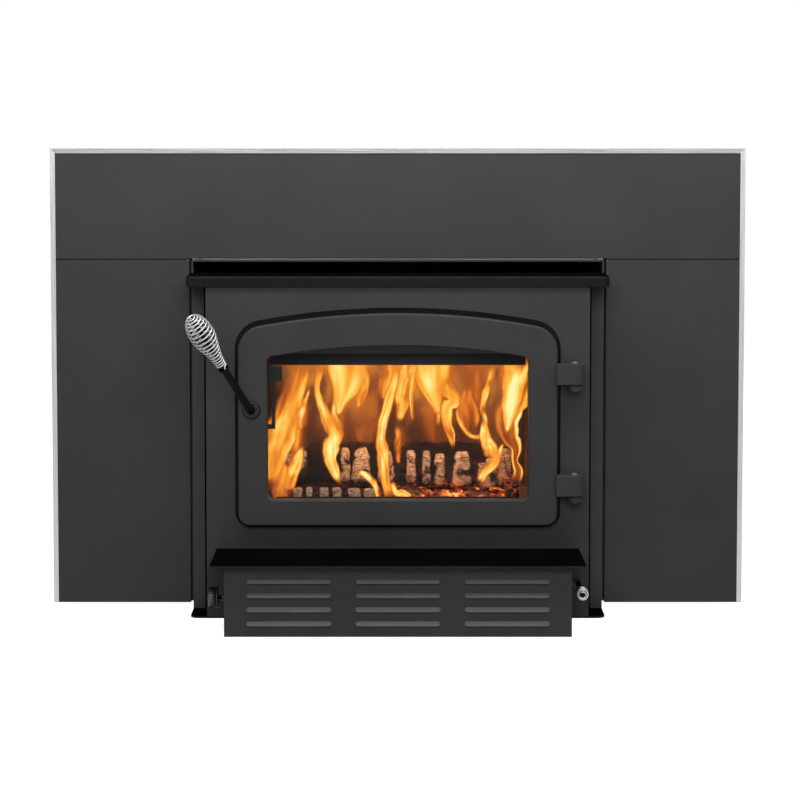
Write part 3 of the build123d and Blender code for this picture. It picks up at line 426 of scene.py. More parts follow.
def glowing_coals():
    """Coals: bright orange where they breathe, grey-black crust elsewhere."""
    g = Look("glowing_coals")
    alive = g.remap(g.axis("X"), -0.05, 0.03, 0.04, 1)
    coarse = g.remap(g.noise(24, 3, 0.6), 0.42, 0.66)
    heat = g.times(coarse, g.remap(g.noise(170), 0.3, 0.62), alive)
    crust = g.noise(320, 4, 0.6)
    ashes = g.mix(alive, (0.03, 0.018, 0.014), (0.22, 0.13, 0.09))
    dull, orange, bright = (0.35, 0.025, 0.002), (1, 0.2, 0.02), (1, 0.55, 0.14)
    glow = g.ramp(heat, (0, grey(0)), (0.3, dull), (0.62, orange), (1, bright))
    return g.set(
        color=g.mix(g.remap(crust, 0.35, 0.65), (0.012, 0.007, 0.005), ashes), rough=0.95, specular=0.1,
        emission=glow, glow=1.6, normal=g.bump(crust, 0.0012, 0.8),
    )


def flame():
    """Burning gas: brightest in its core and along its folded rim, clear at its edges and tip."""
    g = Look("flame")
    u, v, rim = g.attribute("across"), g.attribute("along"), g.attribute("rim")
    flow = g.node("CombineXYZ", {0: u, 1: g.times(v, g.attribute("aspect")), 2: g.attribute("seed")})
    wisp = g.noise(1, 3, 0.5, g.stretch((0.9, 0.3, 1), flow), 0.5)
    thread = g.noise(1, 2, 0.5, g.stretch((1.9, 0.26, 1), flow), 0.5)
    drift = g.noise(1, 3, 0.55, g.stretch((0.7, 0.2, 1.7), flow), 0.4)
    out = g.absolute(g.plus(u, g.times(g.math("SUBTRACT", wisp, 0.5), 0.9)))
    core = g.times(g.remap(out, 0.85, 0.05), g.math("SUBTRACT", 1, rim))
    fold = g.times(g.remap(out, 0.25, 0.68), g.remap(out, 1, 0.74), rim)
    lit = g.plus(g.times(g.plus(core, fold), 0.6), g.times(g.spread(thread), 0.34))
    lit = g.plus(g.times(lit, g.remap(drift, 0.32, 0.66, 0.5, 1.25)), 0.16)
    lit = g.times(lit, g.attribute("fire_heat"))
    ends = g.times(g.remap(v, 0, 0.1), g.remap(v, 1, 0.8))
    edge = g.times(g.remap(out, 1, 0.55), g.remap(g.absolute(u), 1, 0.72))
    veil = g.times(edge, ends, g.remap(lit, 0.08, 0.62, 0.1, 0.97))
    thin = g.remap(veil, 0.1, 0.92, 0.3, 1)    # thin gas is redder
    warm = g.times(lit, g.remap(ends, 0, 1, 0.55, 1, kind="LINEAR"), thin)
    color = g.ramp(
        warm, (0, (0.42, 0.06, 0.006)), (0.22, (0.7, 0.14, 0.012)), (0.42, (0.92, 0.25, 0.018)),
        (0.6, (1, 0.4, 0.035)), (0.78, (1, 0.66, 0.12)), (0.98, (1, 0.92, 0.4)),
    )
    return g.set(color=grey(0), rough=1, specular=0, emission=color, glow=1.25, alpha=veil)


def smoky_glow():
    """The dim orange haze of burning gas between the flames and the bricks."""
    g = Look("smoky_glow")
    drift = g.noise(1, 4, 0.6, g.stretch((13, 13, 6)), 0.7)
    warm = g.plus(g.remap(drift, 0.3, 0.72, 0.06, 0.62), g.times(g.remap(g.axis("Z"), 0.25, 0.4), 0.36))
    color = g.ramp(
        warm, (0.1, (0.12, 0.032, 0.012)), (0.45, (0.42, 0.115, 0.026)), (0.75, (0.86, 0.3, 0.035)),
        (1, (1, 0.55, 0.1)),
    )
    inside = g.times(g.remap(g.absolute(g.axis("X")), 0.215, 0.17), g.remap(g.axis("Z"), 0.225, 0.3))
    veil = g.times(inside, g.remap(warm, 0.05, 0.6, 0.35, 0.92))
    return g.set(color=grey(0), rough=1, specular=0, emission=color, glow=0.95, alpha=veil)


# ---- materials of the CAD nodes
# Each paint: darker and lighter grey, grain and its depth, roughness, width of the worn edge, gloss.
PAINT = painted("charcoal_paint", 0.025, 0.031, 1100, 0.00004, 0.5)
# A lighter copy of the charcoal paint for the jacket sheets: painted light on their front strips.
LIGHTENED_SIDE_PAINT = painted("side_paint_lightened", 0.033, 0.041, 1100, 0.00004, 0.5)
# A lighter, glossier copy of the charcoal paint for the louvre hoods: a painted highlight.
LIGHTENED_HOOD_PAINT = painted("hood_paint_lightened", 0.03, 0.037, 1100, 0.00004, 0.42, gloss=0.27)
BLACK = painted("black_steel", 0.0065, 0.01, 900, 0.00003, 0.36, 0.0006, 0.2, blue=0.0001)
# A far darker copy of the charcoal paint for the top shelf and the base plate: painted shade.
SHADED_SHELF_PAINT = black_shaded_on_top("shelf_paint_shaded", 0.003)
ROD = black_shaded_on_top("rod_paint", 0.0014)
NICKEL = satin_nickel()
ZINC = zinc()
PLASTIC = moulded_plastic()
ROPE = glass_rope()
CHAR = charred_wood()
COALS = glowing_coals()
FLAME = flame()
HAZE = smoky_glow()

BY_SLOT = {
    "charcoal_paint": PAINT, "black_steel": BLACK, "nickel_wire": NICKEL, "zinc_steel": ZINC,
    "charred_wood": CHAR, "embers": COALS, "seal_rope": ROPE, "knob_plastic": PLASTIC,
    "door_paint": painted("cast_paint", 0.0215, 0.028, 620, 0.00012, 0.52, 0.0016, 0.12),
    "jacket_steel": painted("jacket_paint", 0.022, 0.029, 800, 0.00004, 0.56),
    "trim_steel": brushed("trim_upright", (0.39, 0.39, 0.395), (1500, 1500, 12), 0.34),
    "stainless": heat_tinted(), "window_glass": ceramic_glass(), "fire_brick": fire_brick(),
    "baffle_board": mineral_board(),
}
BY_NODE = {
    "top_shelf": SHADED_SHELF_PAINT, "base_plate": SHADED_SHELF_PAINT, "handle_rod": ROD, "control_rod": ROD,
    "jacket_left": LIGHTENED_SIDE_PAINT, "jacket_right": LIGHTENED_SIDE_PAINT,
    # The top trim is a darker grey than the upright trims: painted shade against the top lamp's reflection.
    "trim_top": brushed("trim_across", (0.3, 0.3, 0.305), (12, 1500, 1500), 0.26),
    # The ash lip gets a far darker copy of the charcoal paint as well: painted shade.
    "ash_lip": black_shaded_on_top("lip_paint_shaded", 0.0085), "air_wash_deflector": shade_painted_steel(),
    "hinge_pins": painted("pin_steel", 0.04, 0.056, 900, 0.00003, 0.44, 0.0006, 0.32, blue=0),
}
for row in frame["record"]["subparts"]:
    cad = nodes[row["node"]]
    cad.data.materials.clear()
    cad.data.materials.append(BY_NODE.get(row["node"]) or BY_SLOT[row["material_slot"]])


# ---- mesh helpers
def new_piece(name, points, faces, material, slot, body, smooth=True):
    mesh = bpy.data.meshes.new(name)
    mesh.from_pydata(points, [], faces)
    mesh.validate()
    mesh.polygons.foreach_set("use_smooth", [smooth] * len(mesh.polygons))
    mesh.materials.append(material)
    piece = add_object(name, mesh)
    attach(piece, body)
    return piece


def set_attribute(piece, name, values):
    attribute = piece.data.attributes.new(name, "FLOAT", "POINT")
    attribute.data.foreach_set("value", values)


def clamp(value):
    return min(1, max(0, value))


def grid_faces(rows, columns, closed=False, looped=False):
    """Faces of rows of points: closed makes a ring of each row, looped joins the last row to the first."""
    faces = []
    for i in range(rows if looped else rows - 1):
        a, b = i * columns, (i + 1) % rows * columns
        for j in range(columns if closed else columns - 1):
            k = (j + 1) % columns
            faces.append((a + j, a + k, b + k, b + j))
    return faces


def rod_faces(rings, sides):
    """Faces of a row of rings, closed at both ends."""
    last = rings * sides - sides
    ends = [tuple(reversed(range(sides))), tuple(range(last, last + sides))]
    return grid_faces(rings, sides, closed=True) + ends


def ring(centre, side, other, radius, sides, flute=lambda turn: 1):
    points = []
    for a in [2 * pi * j / sides for j in range(sides)]:
        r = radius * flute(a)
        points.append(centre + side * (r * cos(a)) + other * (r * sin(a)))
    return points


def tube(path, radius, sides):
    """Points and faces of a round tube along a list of points."""
    points, last = [], len(path) - 1
    tangents = [(path[min(i + 1, last)] - path[max(i - 1, 0)]).normalized() for i in range(len(path))]
    side = tangents[0].orthogonal().normalized()
    for p, t in zip(path, tangents):
        side = (side - t * side.dot(t)).normalized()
        points += ring(p, side, t.cross(side), radius, sides)
    return points, rod_faces(len(path), sides)


def turned(profile, centre, way, sides, *flute):
    """A form turned about an axis. The profile lists distances along it and radii, in mm."""
    side = way.orthogonal().normalized()
    other = way.cross(side)
    points = []
    for along, radius in profile:
        points += ring(centre + way * (along * MM), side, other, radius * MM, sides, *flute)
    return points, rod_faces(len(profile), sides)


class Heap:
    """Several closed forms gathered into one mesh, with a shade for each point."""

    def __init__(self):
        self.points, self.faces, self.shades = [], [], []

    def add(self, points, faces, shades=None):
        start = len(self.points)
        self.points += points
        self.shades += shades or [0] * len(points)
        self.faces += [tuple(start + i for i in face) for face in faces]

    def piece(self, name, material, slot, body, smooth=True):
        return new_piece(name, self.points, self.faces, material, slot, body, smooth)


# ---- wound wire grips
HANDLE_WAY = Vector((-80, -98, 149)).normalized()
GRIP_BASE = at(-232, 88, 336) + HANDLE_WAY * 0.097    # so far along the rod from its elbow
PULL_BASE = at(288, 117, 57)
PAST_CAP = 4    # how far the last turns reach past the grip's length, to cover the rod's cap
EYE_R = 2.4    # radius of the last turn
TURN_POINTS = 44
WIRE_SIDES = 12


def wound_line(length, neck, bulb, square, tight, wide, wire, bend):
    """Centre line of a pear-shaped spring along its own z axis, its last turns closed over the rod's cap.

    The turns lie tight at both ends and wide at the middle, measured along the pear's outline.
    """
    low = wire + bend
    rise = length - 2 * low
    fullest = sqrt(0.5)
    crown = length + PAST_CAP - low - rise * fullest
    outline = []
    for s in np.linspace(0, fullest, 140):
        outline.append((neck + (bulb - neck) * sin(pi * s * s) ** 0.95, low + rise * s))
    for turn in np.linspace(0, pi / 2, 240)[1:-1]:
        r = bulb * cos(turn) ** (2 / square)
        if r > EYE_R:
            outline.append((r, low + rise * fullest + crown * sin(turn) ** (2 / square)))
    radii, heights = np.array(outline).T
    steps = np.hypot(np.diff(radii), np.diff(heights))
    along = np.concatenate(([0], np.cumsum(steps)))
    apart = tight + (wide - tight) * np.sin(pi * along / along[-1])
    turns = np.concatenate(([0], np.cumsum(steps * 2 / (apart[1:] + apart[:-1]))))
    line = [Vector((neck, -bend * aside, low * up)) for aside, up in ((1, 0), (0.95, 0.6), (0.5, 0.92))]
    for q in np.arange(0, turns[-1], 1 / TURN_POINTS):
        r, a = np.interp(q, turns, radii), 2 * pi * q
        line.append(Vector((r * cos(a), r * sin(a), np.interp(q, turns, heights))))
    return line


def wound_grip(name, node, body, origin, way, wire, **form):
    turn = way.to_track_quat("Z", "Y")
    path = [origin + (turn @ p) * MM for p in wound_line(wire=wire, **form)]
    piece = new_piece(name, *tube(path, wire / 2 * MM, WIRE_SIDES), NICKEL, "nickel_wire", body)
    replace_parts(piece, node)


wound_grip(
    "coil_grip", "handle_grip", "latch_handle", GRIP_BASE, HANDLE_WAY,
    length=105, neck=7.4, bulb=19.2, square=2.3, tight=3.7, wide=8.2, wire=2.5, bend=3.2,
)
wound_grip(
    "coil_pull", "air_pull_grip", "air_control", PULL_BASE, FRONT,
    length=33, neck=5.6, bulb=8.3, square=12, tight=3.5, wide=3.9, wire=2.6, bend=3.2,
)


# ---- rope seal and glass gasket
# Half width, bottom, top, and the radii of the arch, of its top corners and of its bottom corners.
DOOR_OUTLINE = 253, 151.5, 489.6, 1200, 40, 18
WINDOW_OUTLINE = 207.5, 192.6, 438.7, 1149.1, 9, 11


def arch_line(half, bottom, top, radius, top_r, foot_r, step):
    """Points along a closed arched outline, x and z, about step apart."""

    def arc(cx, cz, r, a0, a1):
        count = max(3, int(abs(a1 - a0) * r / step))
        turns = [a0 + (a1 - a0) * i / count for i in range(count + 1)]
        return [(cx + r * cos(a), cz + r * sin(a)) for a in turns]

    upright = pi / 2
    lean = asin((half - top_r) / (radius - top_r))
    up = (radius - top_r) * cos(lean) + top - radius
    corners = arc(half - foot_r, bottom + foot_r, foot_r, -upright, 0)
    corners += arc(half - top_r, up, top_r, 0, upright - lean)
    corners += arc(0, top - radius, radius, upright - lean, upright + lean)
    corners += arc(top_r - half, up, top_r, upright + lean, pi)
    corners += arc(foot_r - half, bottom + foot_r, foot_r, pi, 3 * upright)
    line = []
    for (x0, z0), (x1, z1) in zip(corners, corners[1:] + corners[:1]):
        length = hypot(x1 - x0, z1 - z0)
        if length < 1e-6:
            continue
        count = max(1, round(length / step))
        line += [(x0 + (x1 - x0) * i / count, z0 + (z1 - z0) * i / count) for i in range(count)]
    return line


def grown_arch(outline, growth, step):
    """The line along an outline that has grown outwards all round."""
    half, bottom, *others = outline
    return arch_line(half + growth, bottom - growth, *(size + growth for size in others), step)


def swept_round(line, section):
    """Points and faces of a closed band: section gives, at each point, how far out and at what reach."""
    points = []
    for i, (x, z) in enumerate(line):
        (x0, z0), (x1, z1) = line[i - 1], line[(i + 1) % len(line)]
        length = hypot(x1 - x0, z1 - z0)
        nx, nz = (z1 - z0) / length, -(x1 - x0) / length
        points += [at(x + nx * out, reach, z + nz * out) for out, reach in section(i)]
    return points, grid_faces(len(line), len(points) // len(line), closed=True, looped=True)


def door_rope():
    """The knitted rope in the door's groove: two strands of loops wound along a soft core."""
    middle_reach, half_deep, half_wide, knit_deep, sides = 42.65, 4.25, 2.9, 0.07, 14

    def section(i):
        outline = []
        for a in [2 * pi * j / sides for j in range(sides)]:
            loops = sin(3 * a + 2 * pi * i / 4) * cos(pi * i / 3)
            knit = 1 - knit_deep + knit_deep * loops
            outline.append((half_wide * knit * cos(a), middle_reach + half_deep * knit * sin(a)))
        return outline

    points, faces = swept_round(grown_arch(DOOR_OUTLINE, -7, 1.7), section)
    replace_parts(new_piece("rope_seal", points, faces, ROPE, "seal_rope", "door"), "door_seal")


def glass_tape():
    """The flat woven tape between the pane and the casting, with rounded edges."""
    growth, inner_reach, ripple = 2, 51.5, 0.06
    # how far outside the window's edge, and how thick
    rim = [(2.2, 0.1), (3.8, 0), (5.3, 0.1), (5.5, 1), (5.3, 1.9), (3.8, 2), (2.2, 1.9), (2, 1)]

    def section(i):
        return [(out - growth + ripple * sin(2.1 * i), inner_reach + up) for out, up in rim]

    points, faces = swept_round(grown_arch(WINDOW_OUTLINE, growth, 4), section)
    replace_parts(new_piece("glass_tape", points, faces, ROPE, "seal_rope", "door"), "glass_gasket")


door_rope()
glass_tape()


# ---- fire: charred wood and coals
# Each log: its ends in x, reach, height, radius, heading in degrees and how deep its cracks are.
LOGS = [
    (-176, 178, -218, 209, 37, 0, 0.12), (-92, 178, -136, 199, 21, -5, 0.12),
    (-206, -34, -38, 172, 15.5, 2, 0.2),
]
# x, half width, top and foot of the split blocks that stand along the front log
TEETH = [
    (-87, 9, 249, 192), (-60, 16, 250, 190), (-19, 14, 246, 190), (22, 9, 246, 192), (48, 8, 246, 192),
    (70, 10, 241, 190), (107, 16, 246, 188),
]
# x and top of the thin blocks that lean together on the right, over one foot
STACK, STACK_FOOT = ((142, 226), (156, 234), (171, 243), (181, 250)), 184
# x and half width of the low blocks behind the window's lower left edge
SILL_BLOCKS = [(-192, 14), (-163, 9), (-144, 6), (-120, 8), (-99, 8), (-71, 11), (-46, 9)]
# x, half width and height of the two lumps above them
LUMPS = (-183, 14, 220), (-160, 11, 224)
HOT_FOOT, HOT_TOP = 172, 226    # between these heights the cracks stop glowing
CRACK_WIDTH = 0.055


def random_place(rng):
    return Vector([rng.uniform(0, 50) for _ in range(3)])


def block(
    centre, half, rng, rings=22, sides=26, squareness=0.42, rough=0.16, notches=(), pale=0, flare=0
):
    """A burnt block: a rounded box, lumpy, cracked round at the heights in notches, with painted light that is
    palest in front.
    """

    def power(value):
        return copysign(abs(value) ** squareness, value)

    shift = random_place(rng)
    points, shades = [], []
    for i in range(rings):
        lat = pi * (i / (rings - 1) - 0.5)
        wide = power(cos(lat))
        for j in range(sides):
            lon = 2 * pi * j / sides
            p = Vector((wide * power(cos(lon)), wide * power(sin(lon)), power(sin(lat))))
            q = Vector((p.x * half[0] * (1 - flare * p.z), p.y * half[1], p.z * half[2]))
            lump = noise.noise(q * 0.07 + shift) + 0.5 * noise.noise(q * 0.19 + shift)
            sway = 0.1 * noise.noise(q * 0.12 + shift)
            cut = 0
            for height, depth, lean in notches:
                off = (p.z - height + lean * p.x + sway) / CRACK_WIDTH
                cut = max(cut, depth * exp(-(off**2)))
            scale, tall = 1 + rough * lump - cut, 1 + 0.5 * rough * lump
            points.append(at(centre[0] + q.x * scale, centre[1] + q.y * scale, centre[2] + q.z * tall))
            # Painted light: palest in front and on top, darker at the sides, towards the foot and in the
            # notches.
            painted_light = clamp(0.3 + 0.9 * p.y) * (1 - 0.75 * abs(p.x) ** 5)
            shades.append(pale * painted_light * (0.75 + 0.25 * p.z) * (1 - min(1, 5 * cut)))
    return points, grid_faces(rings, sides, closed=True), shades


def log_core(x0, x1, reach, z, radius, heading, depth, rng):
    """A charred log whose skin has shrunk into blocks."""
    rings, sides = 70, 40
    shift = random_place(rng)
    turn = radians(heading)
    middle = (x0 + x1) / 2
    points = []
    for i in range(rings):
        t = i / (rings - 1)
        along = x0 + (x1 - x0) * t - middle
        end = min(1, 9 * t, 9 * (1 - t)) ** 0.35
        for j in range(sides):
            a = 2 * pi * j / sides
            q = Vector((along, radius * cos(a), radius * sin(a)))
            near = noise.voronoi(Vector((q.x * 0.045, q.y * 0.06, q.z * 0.06)) + shift)[0]
            crack = max(0, 1 - (near[1] - near[0]) / 0.22)
            lump = noise.noise(q * 0.03 + shift)
            r = end * (1 + 0.16 * lump - depth * crack)
            y, up = q.y * r, max(q.z * r, -0.78 * radius)
            x = middle + along * cos(turn) - y * sin(turn)
            points.append(at(x, reach - along * sin(turn) + y * cos(turn), z + up))
    return points, rod_faces(rings, sides)


def firewood():
    rng = random.Random(41)
    draw = rng.uniform
    wood = Heap()
    for log in LOGS:
        wood.add(*log_core(*log, rng))
    for x, half, top, foot in TEETH:
        height = (top - foot) / 2
        notches = [(draw(-0.5, -0.2), 0.17, draw(-0.2, 0.2)), (draw(0.1, 0.55), 0.15, draw(-0.3, 0.3))]
        place, size = (x, -111 + 0.06 * x, foot + height), (half, 12, height)
        flare = 0.26 if half > 12 else 0.1
        wood.add(*block(place, size, rng, squareness=0.5, notches=notches, pale=1, flare=flare))
    for x, top in STACK:
        height = (top - STACK_FOOT) / 2
        notches = [(k * 0.3 - 0.6, 0.1, 0.1) for k in range(5)]
        wood.add(*block((x, -110, STACK_FOOT + height), (10, 12, height), rng, notches=notches, pale=0.8))
    for x, half in SILL_BLOCKS:
        place = (x, -25, 183 + draw(-1, 1))
        wood.add(*block(place, (half, 8, 14), rng, notches=[(draw(-0.3, 0.3), 0.2, 0.2)], pale=0.95))
    for x, half, z in LUMPS:
        notches = [(-0.2, 0.14, 0.2), (0.35, 0.12, -0.2)]
        wood.add(*block((x, -96, z), (half, 12, 24), rng, notches=notches, pale=0.6))
    wood.add(*block((189, -62, 188), (12, 14, 17), rng, squareness=0.3))
    piece = wood.piece("charred_logs", CHAR, "charred_wood", "root")
    # The attribute pale carries the blocks' painted light along with their ash.
    set_attribute(piece, "pale", wood.shades)
    heights = [v.co.z / MM for v in piece.data.vertices]
    set_attribute(piece, "hot", [clamp((HOT_TOP - z) / (HOT_TOP - HOT_FOOT)) for z in heights])
    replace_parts(piece, "firewood_logs")


def coal_bed():
    """A low uneven bed of ash with a few hundred coals lying in it."""
    rng = random.Random(7)
    bed = Heap()
    columns, rows = 120, 76
    half_wide, back, front, foot = 199, -322, -50.5, 157.1

    def height(x, reach):
        side = min(1, (half_wide - abs(x)) / 34)
        deep = min(1, (front - reach) / 30, (reach - back) / 30)
        mound = max(0, min(side, deep)) ** 0.6
        coarse, fine = Vector((x * 0.03, reach * 0.03, 2)), Vector((x * 0.1, reach * 0.1, 5))
        return 157.4 + mound * (15 + 4 * (noise.noise(coarse) + 0.6 * noise.noise(fine)))

    xs = np.linspace(-half_wide, half_wide, columns)
    places = [(x, reach) for reach in np.linspace(front, back, rows) for x in xs]
    count = len(places)
    sheet = grid_faces(rows, columns)
    corner = columns * rows - 1
    rim = [*range(columns - 1), *range(columns - 1, corner, columns)]
    rim += [*range(corner, corner - columns + 1, -1), *range(corner - columns + 1, 0, -columns)]
    faces = sheet + [tuple(count + i for i in reversed(face)) for face in sheet]
    faces += [(b, a, a + count, b + count) for a, b in zip(rim, rim[1:] + rim[:1])]
    top = [at(x, reach, height(x, reach)) for x, reach in places]
    bed.add(top + [at(*place, foot) for place in places], faces)
    for _ in range(330):
        x = rng.uniform(-188, 188)
        reach = -58 - 200 * rng.random() ** 1.6
        size = rng.uniform(2.6, 7.5)
        half = [size * rng.uniform(*share) for share in ((0.8, 1.5), (0.7, 1.2), (0.5, 0.8))]
        place = (x, reach, height(x, reach) + half[2] * 0.5)
        bed.add(*block(place, half, rng, rings=7, sides=9, squareness=0.6, rough=0.5))
    piece = bed.piece("coal_bed", COALS, "embers", "root")
    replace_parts(piece, "ember_bed")


firewood()
coal_bed()

# ---- fire: flames
# Each flame: name, reach, heat, rim brightness, then x, z and half width from its foot to its tip.
FLAMES = [
    ("left_a", -20, 1, 0.3, (-205, 196, 12), (-205, 216, 19), (-202, 249, 22), (-193, 282, 24),
     (-180, 317, 22), (-169, 353, 17), (-159, 383, 14), (-151, 415, 10)),
    ("left_b", -60, 0.8, 0.1, (-164, 286, 5), (-159, 309, 6), (-153, 332, 5), (-147, 348, 3), (-144, 361, 1)),
    ("left_c", -12, 0.95, 0.2, (-178, 192, 8), (-172, 221, 10), (-165, 240, 9), (-159, 257, 6),
     (-153, 273, 1)),
    ("left_d", -85, 0.6, 0, (-170, 226, 7), (-167, 259, 17), (-164, 282, 20), (-157, 312, 17),
     (-150, 342, 8)),
    ("left_e", -14, 0.8, 0.2, (-190, 180, 13), (-187, 204, 16), (-183, 221, 13), (-180, 243, 4)),
    ("mid_a", -40, 1, 0.2, (-90, 197, 3), (-101, 216, 7), (-109, 239, 10), (-108, 262, 13), (-105, 282, 14),
     (-109, 298, 13), (-119, 318, 8), (-128, 341, 6), (-132, 364, 5), (-127, 388, 7), (-124, 413, 8)),
    ("mid_b", -70, 0.7, 0, (-95, 271, 4), (-95, 294, 7), (-102, 311, 8), (-97, 334, 9), (-90, 357, 10),
     (-89, 387, 11), (-87, 410, 11)),
    ("mid_d", -60, 0.85, 0.2, (-64, 319, 3), (-59, 342, 7), (-54, 361, 9), (-55, 378, 11), (-70, 394, 16),
     (-77, 414, 16)),
    ("core_a", -30, 1, 0.4, (-4, 177, 16), (-18, 202, 8), (-22, 228, 9), (-24, 254, 10), (-27, 277, 8),
     (-24, 303, 8), (-17, 329, 8), (-11, 352, 7), (-4, 378, 6), (-3, 414, 5)),
    ("core_b", -65, 0.85, 0.2, (2, 298, 3), (7, 325, 10), (10, 348, 14), (12, 367, 16), (19, 391, 16),
     (22, 414, 16)),
    ("core_c", -45, 0.9, 0.3, (25, 301, 2), (23, 327, 3), (22, 347, 3), (25, 370, 7), (28, 393, 12),
     (32, 416, 13)),
    ("core_d", -80, 0.5, 0, (2, 227, 3), (0, 253, 8), (4, 273, 10), (2, 296, 5)),
    ("right_a", -50, 0.95, 0.2, (65, 292, 2), (66, 317, 6), (63, 340, 10), (51, 359, 11), (42, 376, 10),
     (35, 399, 9), (32, 415, 9)),
    ("right_c", -40, 1, 0.3, (92, 256, 2), (87, 279, 6), (81, 302, 8), (82, 325, 10), (89, 341, 12),
     (81, 361, 13), (71, 384, 11), (68, 413, 10)),
    ("right_d", -55, 0.9, 0.2, (98, 334, 2), (99, 309, 3), (109, 290, 4), (125, 277, 5), (142, 280, 4),
     (144, 303, 4), (140, 326, 5), (144, 349, 5), (152, 375, 6), (157, 411, 6)),
    ("right_e", -75, 0.6, 0.5, (119, 274, 7), (118, 297, 15), (116, 317, 16), (115, 340, 10), (116, 363, 3)),
    ("right_f", -25, 1.1, 0.2, (130, 204, 3), (142, 222, 8), (156, 242, 11), (152, 258, 12), (146, 274, 10),
     (142, 294, 7), (139, 317, 3)),
    ("right_g", -26, 1, 0, (159, 238, 5), (166, 255, 5), (173, 271, 1)),
    ("edge_a", -20, 1, 0.8, (191, 202, 7), (196, 223, 8), (191, 242, 5), (191, 262, 9), (183, 282, 16),
     (180, 304, 21), (185, 327, 21), (194, 350, 17), (201, 373, 15), (198, 396, 19), (194, 415, 19)),
    ("edge_b", -50, 1, 0.3, (189, 330, 3), (180, 353, 8), (175, 369, 10), (183, 389, 13), (193, 412, 16)),
    ("low_a", -16, 0.9, 0.1, (-30, 180, 4), (-35, 197, 5), (-43, 210, 6), (-55, 220, 6), (-70, 225, 2)),
    ("low_b", -15, 0.9, 0.1, (23, 181, 4), (9, 188, 6), (-4, 194, 6), (-11, 211, 3)),
    ("crown_a", -34, 1, 0, (-98, 310, 1), (-93, 332, 10), (-87, 358, 24), (-84, 388, 36), (-84, 418, 38)),
    ("crown_b", -90, 0.8, 0, (-20, 330, 8), (-14, 352, 20), (-4, 376, 26), (0, 418, 28)),
    ("crown_c", -30, 1, 0, (67, 314, 1), (63, 338, 11), (60, 364, 24), (62, 392, 32), (62, 418, 34)),
    ("crown_d", -108, 0.4, 0, (120, 296, 10), (124, 330, 22), (126, 362, 26), (130, 418, 26)),
    ("crown_e", -10, 0.92, 0.1, (176, 284, 1), (181, 312, 9), (186, 348, 17), (190, 384, 20), (190, 418, 20)),
    ("veil_a", -112, 0.36, 0, (-60, 256, 14), (-54, 290, 34), (-50, 326, 40), (-48, 356, 26)),
    ("veil_b", -114, 0.36, 0, (66, 256, 14), (66, 290, 30), (70, 326, 38), (74, 356, 24)),
]
PER_KNOT = 10
ACROSS = 11
WIDEN = 1.42    # from a knot's half width to the ribbon's, whose edges are clear
HAZE_X, HAZE_Z, HAZE_REACH = 218, (205, 418), -150


def smooth_line(knots):
    """Points on a smooth curve through the knots."""
    knots = np.array(knots, float)
    padded = np.concatenate((knots[:1], knots, knots[-1:]))
    line = []
    for p0, p1, p2, p3 in zip(padded, padded[1:], padded[2:], padded[3:]):
        square, cube = 2 * p0 - 5 * p1 + 4 * p2 - p3, 3 * p1 - p0 - 3 * p2 + p3
        for t in np.arange(PER_KNOT) / PER_KNOT:
            line.append(0.5 * (2 * p1 + (p2 - p0) * t + square * t**2 + cube * t**3))
    return line + [knots[-1]]


def line_bend(line, i, span=4):
    """How sharply the line turns at point i, in 1/mm, positive towards its right-hand side."""
    before, here, after = line[max(i - span, 0)], line[i], line[min(i + span, len(line) - 1)]
    a, b = (here - before)[:2], (after - here)[:2]
    if hypot(*a) * hypot(*b) < 1e-6:
        return 0
    angle = atan2(-(a[0] * b[1] - a[1] * b[0]), a[0] * b[0] + a[1] * b[1])
    return 2 * angle / (hypot(*a) + hypot(*b))


def add_flame(name, reach, heat, rim, knots, seed):
    """A tongue of burning gas: a ribbon that bellies towards the glass and flickers from side to side."""
    line = smooth_line(knots)
    spans = [hypot(*(b - a)[:2]) for a, b in zip(line, line[1:])]
    length = sum(spans)
    points, u_values, v_values = [], [], []
    for i, (x, z, half) in enumerate(line):
        run = line[min(i + 1, len(line) - 1)] - line[max(i - 1, 0)]
        nx, nz = run[1] / hypot(*run[:2]), -run[0] / hypot(*run[:2])
        travelled = sum(spans[:i])
        sway = 7 * noise.noise(Vector((travelled * 0.018, seed * 3.1, 0.5)))
        bend = line_bend(line, i)
        for u in [2 * j / (ACROSS - 1) - 1 for j in range(ACROSS)]:
            flick = 1 + 0.16 * noise.noise(Vector((travelled * 0.06, seed * 1.7, u)))
            w = half * WIDEN * flick * u
            w /= 1 + max(0, bend * w)    # the inner side of a bend doesn't fold over itself
            points.append(at(x + nx * w, reach + 0.55 * half * (1 - u * u) + sway, z + nz * w))
            u_values.append(u)
            v_values.append(travelled / length)
    piece = new_piece(f"flame_{name}", points, grid_faces(len(line), ACROSS), FLAME, "embers", "root")
    set_attribute(piece, "across", u_values)
    set_attribute(piece, "along", v_values)
    aspect = length / max(4, *(p[2] for p in line))
    own = ("seed", random.Random(seed).uniform(0, 40)), ("fire_heat", heat), ("rim", rim), ("aspect", aspect)
    for key, value in own:
        set_attribute(piece, key, [value] * len(points))


def haze_sheet():
    points = []
    columns, rows = 60, 34
    for z in np.linspace(*HAZE_Z, rows):
        for x in np.linspace(-HAZE_X, HAZE_X, columns):
            points.append(at(x, HAZE_REACH + 14 * noise.noise(Vector((x * 0.012, z * 0.012, 9))), z))
    new_piece("flame_haze", points, grid_faces(rows, columns), HAZE, "embers", "root")


for seed, (name, reach, heat, rim, *knots) in enumerate(FLAMES):
    add_flame(name, reach, heat, rim, knots, seed)
haze_sheet()


